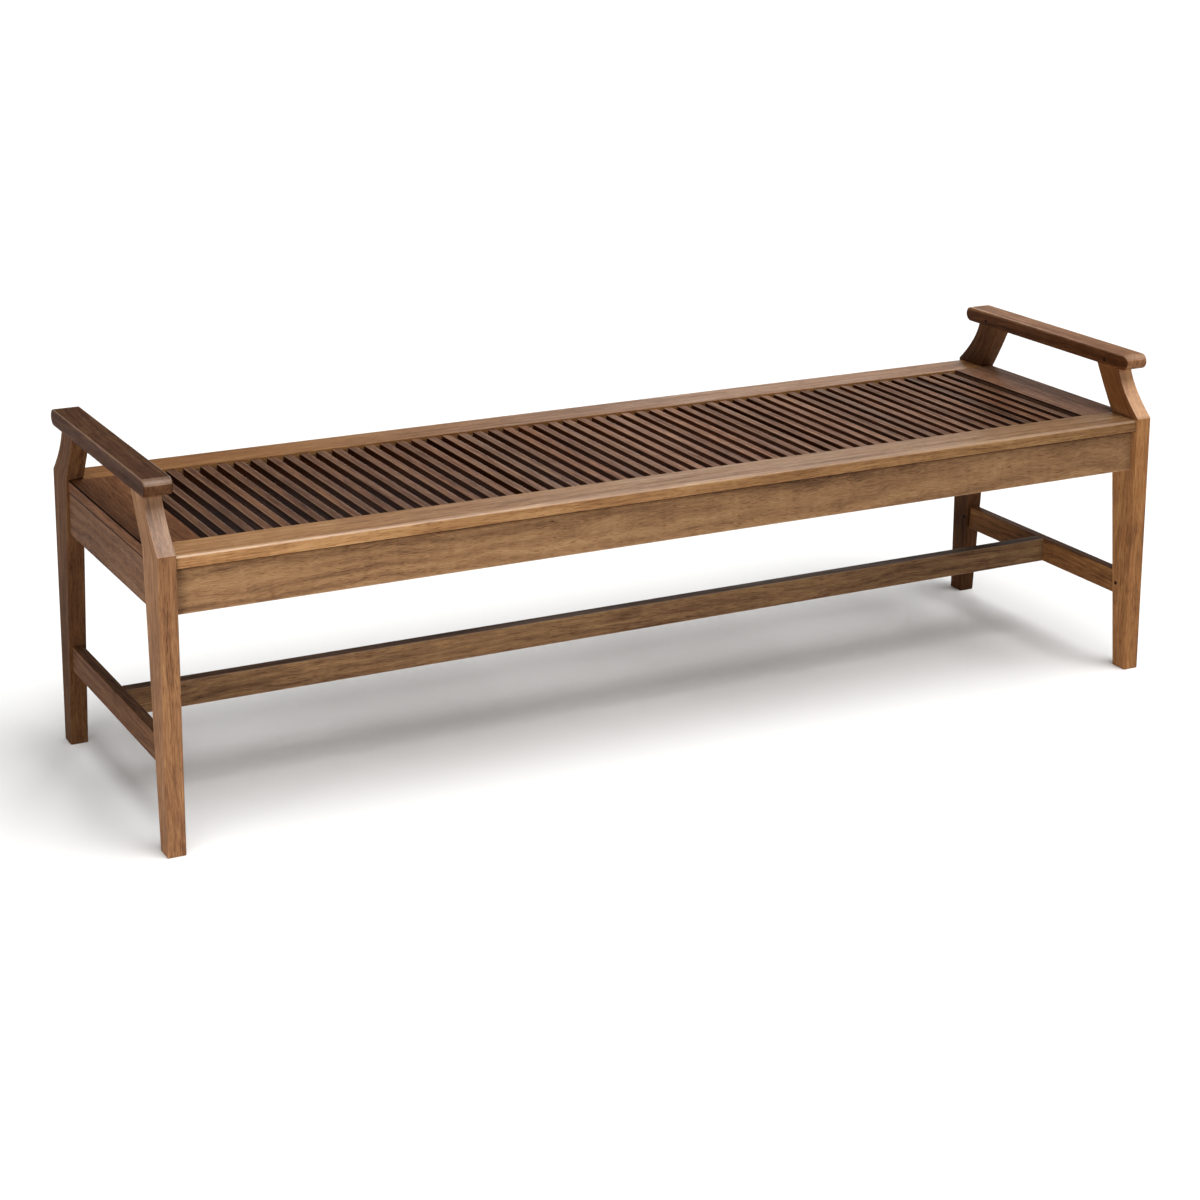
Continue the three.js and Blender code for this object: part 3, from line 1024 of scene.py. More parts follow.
@dataclass
class Legs:
    """Four tapered legs, each sweeping inwards above the seat to carry its armrest."""

    foot_width: float = 33 * MM
    seat_width: float = 70 * MM
    seat_height: float = 450 * MM
    knee_height: float = 453 * MM
    top: float = 531.7 * MM
    top_outer: float = 59 * MM
    top_inner: float = 118 * MM
    outer_pull: tuple[float, float] = (49 * MM, 496 * MM)
    inner_pull: tuple[float, float] = (95.5 * MM, 489 * MM)
    curve_steps: int = 20
    edge_radius: float = 1.3 * MM
    edge_steps: int = 3
    # How much each front leg's upward slant is polished and painted paler as a highlight.
    slant_polish_and_highlight: dict[str, float] = field(
        default_factory=lambda: {"front_left": 0.45, "front_right": 0.85}
    )
    # Painted shade on the front right leg's inner face above the seat, and a painted highlight on its
    # slant.
    inside_shade: tuple[float, float, float] = (0.62, 0.52, 0.45)
    slant_highlight: tuple[float, float, float] = (1.42, 1.46, 1.62)
    lean_rise: float = 74.5 * MM
    lean_fall: float = 21 * MM
    grain_lines: tuple[float, ...] = (450 * MM, 470 * MM, 490 * MM, 510 * MM)
    # The back legs are painted much darker as shade from the seat above them, and each drift paints
    # how the light on a leg changes from its foot to its top.
    tints: dict[str, tuple[float, float, float]] = field(
        default_factory=lambda: {
            "front_left": (0.81, 0.81, 0.77),
            "front_right": (0.90, 0.84, 0.66),
            "back_left": (0.24, 0.21, 0.18),
            "back_right": (0.18, 0.15, 0.12),
        }
    )
    light_falloffs: dict[str, float] = field(
        default_factory=lambda: {
            "front_left": 0.84,
            "front_right": 1.12,
            "back_left": 1.25,
            "back_right": 2.3,
        }
    )

    def build(self, dice: random.Random) -> None:
        """Makes and places the legs.

        Args:
            dice: The seeded source of chance.
        """
        for corner, tint in self.tints.items():
            node = f"leg_{corner}"
            low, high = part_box(node)
            outward = -1 if corner.startswith("front") else 1
            outer = low.y if outward < 0 else high.y
            outline = [
                Vector((low.x, outer - outward * inset, height))
                for inset, height in self.profile()
            ]
            leg = Workpiece.sawn(outline, Vector((high.x - low.x, 0.0, 0.0)))
            leg.soften(leg.arrises(), self.edge_radius, self.edge_steps, WearAndPaintedLight.RUBBED_ABOVE)
            for height in self.grain_lines:
                leg.cut_through(height)
            # The upward slants of the front legs are polished, and painted paler as a highlight of the
            # key.
            if corner in self.slant_polish_and_highlight:
                leg.burnish_and_highlight(lambda face: face.normal.z > UPWARD, self.slant_polish_and_highlight[corner])

            def straighten(place: Vector, way: int = outward) -> Vector:
                """Takes a point of the swept leg to where it was in the straight board."""
                return place + Vector((0.0, way * self.lean(place.z), 0.0))

            grain = Grain.drawn(Along.Z, dice)
            leg.cut_from(grain, tint, self.light_falloffs.get(corner, 1.0), straighten)
            # Painted shade on the inner face above the seat, then a painted highlight on the slant.
            if corner == "front_right":
                leg.paint_shading(
                    lambda place: place.x < low.x + MM and place.z > self.seat_height + MM,
                    self.inside_shade,
                )
                leg.paint_shading(
                    lambda place: low.x + MM < place.x < high.x - MM
                    and place.y < low.y + self.top_outer + MM
                    and place.z > self.knee_height + MM,
                    self.slant_highlight,
                )
            finish = FRONT_LEG_TIMBER if outward < 0 else BACK_LEG_TIMBER
            leg.fit(f"shaped_{node}", finish, node)

    def lean(self, height: float) -> float:
        """How far the middle of the leg has swept inwards.

        Args:
            height: The height.

        Returns:
            The distance, which is 0 up to the seat.
        """
        part = max(0.0, (height - self.seat_height) / (self.top - self.seat_height))
        return self.lean_rise * part - self.lean_fall * part * part

    def profile(self) -> list[tuple[float, float]]:
        """The leg's side view.

        Returns:
            The inset from its outer edge and the height of each corner.
        """
        inner = self.sweep(
            (self.seat_width, self.seat_height), self.inner_pull, (self.top_inner, self.top)
        )
        outer = self.sweep((self.top_outer, self.top), self.outer_pull, (0.0, self.knee_height))
        return [(0.0, 0.0), (self.foot_width, 0.0), *inner, *outer]

    def sweep(
        self, start: tuple[float, float], pull: tuple[float, float], end: tuple[float, float]
    ) -> list[tuple[float, float]]:
        """A curve that is drawn towards one point.

        Args:
            start: Where it starts.
            pull: The point that it is drawn towards.
            end: Where it ends.

        Returns:
            Points along it.
        """
        first, handle, last = (Vector((*point, 0.0)) for point in (start, pull, end))
        # A cubic curve repeats a quadratic one when its handles lie two thirds of the way out.
        near = first.lerp(handle, 2 / 3)
        far = last.lerp(handle, 2 / 3)
        points = interpolate_bezier(first, near, far, last, self.curve_steps + 1)
        return [(point.x, point.y) for point in points]


@dataclass
class Armrests:
    """A flat handle with full-round ends over each pair of legs."""

    nose_steps: int = 14
    edge_radius: float = 1.8 * MM
    edge_steps: int = 4
    nose_flat: float = 0.4 * MM
    square_corner: float = 60.0
    side_reach: float = 1.5 * MM
    shadow_drop: float = 3 * MM
    # Painted shade on each armrest's side that faces -X, below its top edge; darkest on the right,
    # where the seat keeps the floor's light off it.
    side_shades: dict[str, tuple[float, float, float]] = field(
        default_factory=lambda: {"left": (0.60, 0.47, 0.36), "right": (0.38, 0.29, 0.21)}
    )
    tints: dict[str, tuple[float, float, float]] = field(
        default_factory=lambda: {"left": (0.42, 0.37, 0.31), "right": (1.28, 1.18, 1.02)}
    )

    def build(self, dice: random.Random) -> None:
        """Makes and places the armrests.

        Args:
            dice: The seeded source of chance.
        """
        for end, tint in self.tints.items():
            node = f"armrest_{end}"
            low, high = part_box(node)
            handle = Workpiece.block(low, high)
            nose_radius = (high.z - low.z - self.nose_flat) / 2
            # The upper faces of the rounded ends and rims are painted pale: partly real rubbing,
            # partly a painted highlight.
            handle.soften(handle.edges(runs_along(0)), nose_radius, self.nose_steps, WearAndPaintedLight.RUBBED_ABOVE)
            rims = handle.arrises(self.square_corner)
            handle.soften(rims, self.edge_radius, self.edge_steps, WearAndPaintedLight.RUBBED_ABOVE)
            grain = Grain.drawn(Along.Y, dice)
            handle.cut_from(grain, tint)
            # Painted shade on the side that faces -X.
            handle.paint_shading(
                lambda place: place.x < low.x + self.side_reach
                and place.z < high.z - self.shadow_drop,
                self.side_shades[end],
            )
            handle.fit(f"rounded_{node}", ARMREST_TIMBER, node)


@dataclass
class SeatFrame:
    """The long rails with their grooved inner edges, and the boards across the ends."""

    rail_width: float = 70 * MM
    groove_depth: float = 8 * MM
    groove_height: float = 6.6 * MM
    tenon: float = 12 * MM
    joint_gap: float = 0.3 * MM
    nose_radius: float = 6.0 * MM
    nose_steps: int = 7
    edge_radius: float = 1.2 * MM
    edge_steps: int = 3
    board_radius: float = 1.8 * MM
    # Painted shade on the end boards' sides and undersides, below the top's rounded edge.
    side_shade: tuple[float, float, float] = (0.80, 0.80, 0.82)
    ear: float = 3.7 * MM
    rail_tints: dict[str, tuple[float, float, float]] = field(
        default_factory=lambda: {"front": (0.83, 0.82, 0.85), "back": (0.59, 0.52, 0.47)}
    )
    # The front rail is painted darker towards its right end as a painted falloff of the key's light.
    rail_light_falloff: float = 0.64
    board_tints: dict[str, tuple[float, float, float]] = field(
        default_factory=lambda: {"left": (0.76, 0.60, 0.44), "right": (1.04, 1.00, 1.00)}
    )

    def build(self, dice: random.Random) -> None:
        """Makes and places the rails and the end boards.

        Args:
            dice: The seeded source of chance.
        """
        for side, tint in self.rail_tints.items():
            self.make_rail(side, tint, dice)
        for end, tint in self.board_tints.items():
            self.make_end_board(end, tint, dice)

    def make_rail(self, side: str, tint: Sequence[float], dice: random.Random) -> None:
        """Makes one rail, with its outer top edge rounded over.

        Args:
            side: front or back.
            tint: The board's tint.
            dice: The seeded source of chance.
        """
        node = f"seat_rail_{side}"
        low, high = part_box(node)
        inward = 1 if side == "front" else -1
        outer = low.y if side == "front" else high.y
        inner = outer + inward * self.rail_width
        floor = inner - inward * self.groove_depth
        middle = (low.z + high.z) / 2
        under = middle - self.groove_height / 2
        over = middle + self.groove_height / 2
        section = [
            (outer, low.z),
            (inner, low.z),
            (inner, under),
            (floor, under),
            (floor, over),
            (inner, over),
            (inner, high.z),
            (outer, high.z),
        ]
        start = low.x + self.tenon
        length = high.x - low.x - 2 * self.tenon
        outline = [Vector((start, y, z)) for y, z in section]
        rail = Workpiece.sawn(outline, Vector((length, 0.0, 0.0)))

        def is_nose(place: Vector, way: Vector) -> bool:
            """Tests for the outer top edge."""
            return abs(way.x) > PARALLEL and abs(place.y - outer) < MM and place.z > over

        def is_under(place: Vector, way: Vector) -> bool:
            """Tests for the two lower edges."""
            on_face = abs(place.y - inner) < MM or abs(place.y - outer) < MM
            return abs(way.x) > PARALLEL and on_face and abs(place.z - low.z) < MM

        def is_inner(place: Vector, way: Vector) -> bool:
            """Tests for the inner top edge."""
            return abs(way.x) > PARALLEL and abs(place.y - inner) < MM and abs(place.z - high.z) < MM

        # The nose is painted pale on top, partly real rubbing and partly a painted highlight; the
        # lower edges get painted shade for the shadow under the overhang.
        rail.soften(rail.edges(is_nose), self.nose_radius, self.nose_steps, WearAndPaintedLight.RUBBED_ABOVE)
        rail.soften(rail.edges(is_under), self.edge_radius, self.edge_steps, WearAndPaintedLight.PAINTED_SHADE)
        rail.soften(rail.edges(is_inner), self.edge_radius, self.edge_steps, WearAndPaintedLight.PLAIN)
        grain = Grain.drawn(Along.X, dice)
        rail.cut_from(grain, tint, self.rail_light_falloff if side == "front" else 1.0)
        rail.fit(f"rounded_{node}", RAIL_TIMBER, node)

    def make_end_board(self, end: str, tint: Sequence[float], dice: random.Random) -> None:
        """Makes one end board, whose corners step out beside the rails' ends.

        Args:
            end: left or right.
            tint: The board's tint.
            dice: The seeded source of chance.
        """
        node = f"end_board_{end}"
        low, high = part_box(node)
        rail_low, rail_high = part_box("seat_rail_back")
        leg_low, leg_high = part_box(f"leg_back_{end}")
        outward = -1 if end == "left" else 1
        outer = low.x if end == "left" else high.x
        inner = high.x if end == "left" else low.x
        step = (leg_high.x if end == "left" else leg_low.x) + outward * self.joint_gap
        short = rail_high.y - self.rail_width - self.joint_gap
        long = short + self.ear
        outline = [
            Vector((x, y, low.z))
            for x, y in (
                (inner, -short),
                (step, -short),
                (step, -long),
                (outer, -long),
                (outer, long),
                (step, long),
                (step, short),
                (inner, short),
            )
        ]
        board = Workpiece.sawn(outline, Vector((0.0, 0.0, high.z - low.z)))
        # The long edges get painted shade, standing in for the shadow line between board and apron.
        board.soften(board.edges(runs_along(1)), self.board_radius, self.edge_steps, WearAndPaintedLight.PAINTED_SHADE)
        grain = Grain.drawn(Along.Y, dice)
        board.cut_from(grain, tint)
        # Painted shade: everything below the top is darker than the top.
        board.paint_shading(lambda place: place.z < high.z - self.board_radius, self.side_shade)
        board.fit(f"eased_{node}", END_BOARD_TIMBER, node)


@dataclass
class SlatField:
    """Fifty-six narrow slats on edge-grooved rails, with a fillet in the groove between each."""

    slat_count: int = 56
    slats_per_bank: int = 4
    slat_width: float = 14 * MM
    top: float = 448 * MM
    bottom: float = 430 * MM
    shoulder: float = 187.7 * MM
    tongue: float = 189.7 * MM
    tongue_height: float = 6 * MM
    fillet_face: float = 188.3 * MM
    fillet_back: float = 195 * MM
    edge_radius: float = 1.4 * MM
    edge_steps: int = 3
    # Painted shade along the seat: the slats grow darker towards the left end and, past far_start,
    # towards the right end.
    dark_share: float = 0.56
    dark_reach: float = 0.75
    far_share: float = 0.80
    far_start: float = 1.05
    far_end: float = 1.60
    tint: tuple[float, float, float] = (0.85, 0.73, 0.63)
    side_start: float = 1.2 * MM
    # Painted shade in the gaps: the slats' sides below the top edge are darkened.
    side_shade: tuple[float, float, float] = (0.46, 0.26, 0.14)
    value_spread: float = 0.13
    warmth_spread: float = 0.035
    fillet_tint: tuple[float, float, float] = (0.85, 0.85, 0.85)

    def build(self, dice: random.Random) -> None:
        """Makes and places the slats, bank by bank.

        Args:
            dice: The seeded source of chance.
        """
        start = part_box("end_board_left")[1].x
        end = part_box("end_board_right")[0].x
        gap = (end - start - self.slat_count * self.slat_width) / (self.slat_count + 1)
        pitch = self.slat_width + gap
        for first in range(0, self.slat_count, self.slats_per_bank):
            node = f"slat_bank_{first // self.slats_per_bank + 1:02d}"
            bank = Workpiece()
            for index in range(first, min(first + self.slats_per_bank, self.slat_count)):
                bank.join(self.make_slat(start + gap + index * pitch, dice))
            for side in (-1, 1):
                bank.join(self.make_fillet(node, side, dice))
            bank.fit(f"eased_{node}", SLAT_TIMBER, node)

    def make_slat(self, left: float, dice: random.Random) -> Workpiece:
        """Makes one slat with a tongue at each end.

        Args:
            left: The x of its left face.
            dice: The seeded source of chance.

        Returns:
            The slat.
        """
        middle = self.groove_middle()
        under = middle - self.tongue_height / 2
        over = middle + self.tongue_height / 2
        half = [
            (self.shoulder, self.bottom),
            (self.shoulder, under),
            (self.tongue, under),
            (self.tongue, over),
            (self.shoulder, over),
            (self.shoulder, self.top),
        ]
        section = half + [(-y, z) for y, z in reversed(half)]
        outline = [Vector((left, y, z)) for y, z in section]
        slat = Workpiece.sawn(outline, Vector((self.slat_width, 0.0, 0.0)))

        def is_long(place: Vector, way: Vector) -> bool:
            """Tests for the edges that run the slat's whole length."""
            return abs(way.y) > PARALLEL and abs(place.y) < self.edge_radius

        slat.soften(slat.edges(is_long), self.edge_radius, self.edge_steps)
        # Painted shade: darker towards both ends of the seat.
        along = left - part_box("end_board_left")[1].x
        way_along = min(1.0, along / self.dark_reach)
        way_far = max(0.0, (along - self.far_start) / (self.far_end - self.far_start))
        value = dice.gauss(1.0, self.value_spread)
        value *= self.dark_share + (1 - self.dark_share) * way_along
        value *= 1 - (1 - self.far_share) * way_far
        warmth = dice.gauss(0.0, self.warmth_spread)
        tint = [value * (1 + warmth), value, value * (1 - warmth)]
        tint = [shade * share for shade, share in zip(tint, self.tint)]
        slat.cut_from(Grain.drawn(Along.Y, dice), tint)
        # Painted shade on the sides, below the top edge.
        return slat.paint_shading(lambda place: place.z < self.top - self.side_start, self.side_shade)

    def groove_middle(self) -> float:
        """The height of the middle of the rails' grooves."""
        low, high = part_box("seat_rail_front")
        return (low.z + high.z) / 2

    def make_fillet(self, node: str, side: int, dice: random.Random) -> Workpiece:
        """Makes the fillet that fills a bank's length of one rail's groove.

        Args:
            node: The bank.
            side: -1 for the front rail and 1 for the back.
            dice: The seeded source of chance.

        Returns:
            The fillet.
        """
        low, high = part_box(node)
        middle = self.groove_middle()
        ys = sorted((side * self.fillet_face, side * self.fillet_back))
        half = self.tongue_height / 2
        fillet = Workpiece.block(
            Vector((low.x, ys[0], middle - half)), Vector((high.x, ys[1], middle + half))
        )
        return fillet.cut_from(Grain.drawn(Along.X, dice), self.fillet_tint)


@dataclass
class Underframe:
    """The aprons under the seat, and the braces, blocks and screws behind them."""

    apron_tenon: float = 18 * MM
    joint_gap: float = 0.3 * MM
    foot_width: float = 33 * MM
    seat_width: float = 70 * MM
    seat_height: float = 450 * MM
    brace_tenon: float = 8 * MM
    block_cut: float = 8 * MM
    edge_radius: float = 1.3 * MM
    edge_steps: int = 3
    screw_head: float = 3 * MM
    screw_neck: float = 0.2 * MM
    shank_sides: int = 20
    head_sides: int = 32
    crown_share: float = 0.8
    crown_steps: int = 5
    recess_inset: float = 0.25
    recess_depth: float = 1.2 * MM
    # Painted shade along the top of the front and back aprons, for the shadow under the rails'
    # overhang.
    shade_reach: float = 7 * MM
    under_rail_shade: tuple[float, float, float] = (0.42, 0.36, 0.32)
    apron_tints: dict[str, tuple[float, float, float]] = field(
        default_factory=lambda: {
            "front": (0.83, 0.85, 0.87),
            "back": (0.75, 0.75, 0.75),
            "left": (0.44, 0.41, 0.47),
            "right": (0.70, 0.64, 0.60),
        }
    )

    def build(self, dice: random.Random) -> None:
        """Makes and places everything under the seat.

        Args:
            dice: The seeded source of chance.
        """
        for side in ("front", "back"):
            self.make_long_apron(side, dice)
        for end in ("left", "right"):
            node = f"apron_{end}"
            # The end aprons' long edges get painted shade, for the shadow line under the end boards.
            apron = self.between_legs(node, WearAndPaintedLight.PAINTED_SHADE)
            apron.cut_from(Grain.drawn(Along.Y, dice), self.apron_tints[end])
            apron.fit(f"eased_{node}", APRON_TIMBER, node)
            self.make_brace(end, dice)
        for side in ("front", "back"):
            for end in ("left", "right"):
                self.make_block(f"{side}_{end}", dice)

    def make_long_apron(self, side: str, dice: random.Random) -> None:
        """Makes the front or back apron. The front one shows the arches of a flat-sawn board.

        Args:
            side: front or back.
            dice: The seeded source of chance.
        """
        node = f"apron_{side}"
        low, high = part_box(node)
        tenon = Vector((self.apron_tenon, 0.0, 0.0))
        apron = Workpiece.block(low + tenon, high - tenon)
        apron.soften(apron.edges(runs_along(0)), self.edge_radius, self.edge_steps)
        grain = Grain.drawn(Along.X, dice)
        if side == "front":
            grain = ARCHED_GRAIN
        # The cut lets the painted shade under the rail fade out downwards.
        apron.cut_through(high.z - self.shade_reach)
        apron.cut_from(grain, self.apron_tints[side])
        apron.paint_shading(lambda place: place.z > high.z - 2 * self.edge_radius, self.under_rail_shade)
        apron.fit(f"eased_{node}", APRON_TIMBER, node)

    def leg_width(self, height: float) -> float:
        """How wide a leg is at a height below the seat.

        Args:
            height: The height.

        Returns:
            The width.
        """
        taper = (self.seat_width - self.foot_width) / self.seat_height
        return self.foot_width + taper * height

    def between_legs(self, node: str, wear_and_painted_light: WearAndPaintedLight) -> Workpiece:
        """Makes a piece between the front and back leg, its ends cut to the legs' taper.

        Args:
            node: The CAD node that it stands for.
            wear_and_painted_light: What is painted on its edges: paler as real rubbing with a painted
                highlight, nothing, or painted shade.

        Returns:
            The piece.
        """
        low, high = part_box(node)
        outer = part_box("leg_back_left")[1].y
        reach = [outer - self.leg_width(z) - self.joint_gap for z in (low.z, high.z)]
        outline = [
            Vector((low.x, reach[0], low.z)),
            Vector((low.x, reach[1], high.z)),
            Vector((low.x, -reach[1], high.z)),
            Vector((low.x, -reach[0], low.z)),
        ]
        piece = Workpiece.sawn(outline, Vector((high.x - low.x, 0.0, 0.0)))
        return piece.soften(piece.edges(runs_along(1)), self.edge_radius, self.edge_steps, wear_and_painted_light)

    def make_brace(self, end: str, dice: random.Random) -> None:
        """Makes a cross brace under the slats.

        Args:
            end: left or right.
            dice: The seeded source of chance.
        """
        node = f"cross_brace_{end}"
        low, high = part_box(node)
        tenon = Vector((0.0, self.brace_tenon + self.joint_gap, 0.0))
        brace = Workpiece.block(low + tenon, high - tenon)
        brace.soften(brace.edges(runs_along(1)), self.edge_radius, self.edge_steps)
        brace.cut_from(Grain.drawn(Along.Y, dice)).fit(f"eased_{node}", HIDDEN_TIMBER, node)

    def make_block(self, corner: str, dice: random.Random) -> None:
        """Makes a corner block and its round-headed screw.

        Args:
            corner: The corner, such as front_left.
            dice: The seeded source of chance.
        """
        node = f"corner_block_{corner}"
        low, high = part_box(node)
        toward_x = 1 if corner.endswith("left") else -1
        toward_y = 1 if corner.startswith("front") else -1
        near = Vector((low.x if toward_x > 0 else high.x, low.y if toward_y > 0 else high.y, low.z))
        size = high - low
        corners = (
            (0.0, 0.0),
            (size.x, 0.0),
            (size.x, self.block_cut),
            (self.block_cut, size.y),
            (0.0, size.y),
        )
        outline = [near + Vector((toward_x * x, toward_y * y, 0.0)) for x, y in corners]
        wedge = Workpiece.sawn(outline, Vector((0.0, 0.0, size.z)))
        wedge.soften(wedge.arrises(), self.edge_radius / 2, 2)
        wedge.cut_from(Grain.drawn(Along.X, dice)).fit(f"eased_{node}", HIDDEN_TIMBER, node)
        self.make_screw(corner)

    def make_screw(self, corner: str) -> None:
        """Makes a screw with a domed head and a round recess for its driver.

        Args:
            corner: The corner, such as front_left.
        """
        node = f"seat_screw_{corner}"
        low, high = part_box(node)
        centre = (low + high) / 2
        radius = (high.x - low.x) / 2
        under_head = low.z + self.screw_head
        shank = Workpiece.round_bar(
            radius / 2,
            Vector((centre.x, centre.y, under_head - self.screw_neck)),
            Vector((centre.x, centre.y, high.z)),
            self.shank_sides,
        )
        head = Workpiece.round_bar(
            radius,
            Vector((centre.x, centre.y, low.z)),
            Vector((centre.x, centre.y, under_head)),
            self.head_sides,
        )

        def is_crown(place: Vector, way: Vector) -> bool:
            """Tests for the rim of the head's free end."""
            return place.z < low.z + 0.01 * MM and abs(way.z) < 0.5

        crown = self.crown_share * self.screw_head
        head.soften(head.edges(is_crown), crown, self.crown_steps, WearAndPaintedLight.PLAIN)
        lowest = min(head.mesh.faces, key=lambda face: face.calc_center_median().z)
        bmesh.ops.inset_individual(head.mesh, faces=[lowest], thickness=self.recess_inset * radius)
        recess = Vector((0.0, 0.0, self.recess_depth))
        bmesh.ops.translate(head.mesh, verts=lowest.verts[:], vec=recess)
        head.join(shank).fit(f"turned_{node}", STEEL, node)


@dataclass
class Stretchers:
    """The H of stretchers between the legs."""

    shoulder: float = 12 * MM
    edge_radius: float = 1.4 * MM
    edge_steps: int = 3
    tints: dict[str, tuple[float, float, float]] = field(
        default_factory=lambda: {"left": (0.56, 0.46, 0.41), "right": (1.05, 0.86, 0.60)}
    )
    # Painted shade on the stretchers' tops, deepest on the right and long ones, which lie in the
    # seat's shade.
    top_shades: dict[str, tuple[float, float, float]] = field(
        default_factory=lambda: {
            "left": (0.90, 0.90, 0.85),
            "right": (0.30, 0.26, 0.24),
            "long": (0.36, 0.34, 0.37),
        }
    )
    long_tint: tuple[float, float, float] = (1.36, 1.38, 1.30)
    # The long stretcher is painted lighter at its left end and darker towards its right, as a painted
    # falloff of light.
    long_light_falloff: float = 0.60

    def build(self, underframe: Underframe, dice: random.Random) -> None:
        """Makes and places the stretchers.

        Args:
            underframe: The frame whose way of fitting between the legs is used.
            dice: The seeded source of chance.
        """
        for end, tint in self.tints.items():
            node = f"end_stretcher_{end}"
            piece = underframe.between_legs(node, WearAndPaintedLight.PLAIN)
            piece.cut_from(Grain.drawn(Along.Y, dice), tint)
            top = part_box(node)[1].z
            # Painted shade on the top.
            piece.paint_shading(lambda place: place.z > top - self.edge_radius / 2, self.top_shades[end])
            piece.fit(f"eased_{node}", STRETCHER_TIMBER, node)
        low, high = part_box("long_stretcher")
        tenon = Vector((self.shoulder, 0.0, 0.0))
        bar = Workpiece.block(low + tenon, high - tenon)
        bar.soften(bar.edges(runs_along(0)), self.edge_radius, self.edge_steps)
        bar.cut_from(Grain.drawn(Along.X, dice), self.long_tint, self.long_light_falloff)
        # Painted shade on the top.
        bar.paint_shading(lambda place: place.z > high.z - self.edge_radius / 2, self.top_shades["long"])
        bar.fit("eased_long_stretcher", STRETCHER_TIMBER, "long_stretcher")


@dataclass
class Pegs:
    """The dowels that lock the joints, their ends sanded just proud of the wood."""

    proud: float = 0.25 * MM
    sides: int = 32
    crown: float = 0.6 * MM
    crown_steps: int = 3
    pith_share: tuple[float, float] = (0.4, 0.3)

    def build(self, dice: random.Random) -> None:
        """Makes and places the pegs.

        Args:
            dice: The seeded source of chance.
        """
        for end in ("left", "right"):
            for side in ("front", "back"):
                for kind in ("armrest_peg", "leg_peg"):
                    self.make_side_peg(f"{kind}_{side}_{end}", end, dice)
            self.make_upright_peg(f"long_stretcher_peg_{end}", dice)

    def make_side_peg(self, node: str, end: str, dice: random.Random) -> None:
        """Makes a peg that shows on the face towards the middle of the bench.

        Args:
            node: The CAD node that it stands for.
            end: left or right.
            dice: The seeded source of chance.
        """
        low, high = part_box(node)
        centre = (low + high) / 2
        inward = 1 if end == "left" else -1
        face = high.x if end == "left" else low.x
        tail = low.x if end == "left" else high.x
        start = Vector((tail, centre.y, centre.z))
        finish = Vector((face + inward * self.proud, centre.y, centre.z))
        self.fit_peg(node, (high.z - low.z) / 2, start, finish, Along.X, dice)

    def make_upright_peg(self, node: str, dice: random.Random) -> None:
        """Makes a peg that goes up through the stretchers' joint.

        Args:
            node: The CAD node that it stands for.
            dice: The seeded source of chance.
        """
        low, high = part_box(node)
        centre = (low + high) / 2
        start = Vector((centre.x, centre.y, high.z))
        finish = Vector((centre.x, centre.y, low.z - self.proud))
        self.fit_peg(node, (high.x - low.x) / 2, start, finish, Along.Z, dice)

    def fit_peg(
        self,
        node: str,
        radius: float,
        start: Vector,
        end: Vector,
        along: Along,
        dice: random.Random,
    ) -> None:
        """Turns one peg and fits it.

        Args:
            node: The CAD node that it stands for.
            radius: The peg's radius.
            start: The middle of its hidden end.
            end: The middle of the end that shows.
            along: The axis that it lies on.
            dice: The seeded source of chance.
        """
        peg = Workpiece.round_bar(radius, start, end, self.sides)

        def is_rim(place: Vector, way: Vector) -> bool:
            """Tests for the rim of the end that shows."""
            return (place - end).length < 1.1 * radius

        peg.soften(peg.edges(is_rim), self.crown, self.crown_steps, WearAndPaintedLight.PLAIN)
        grain = Grain.drawn(along, dice)
        grain.pith = (self.pith_share[0] * radius, self.pith_share[1] * radius)
        peg.cut_from(grain).fit(f"turned_{node}", PEG_TIMBER, node)


# ---------------------------------------------------------------- studio


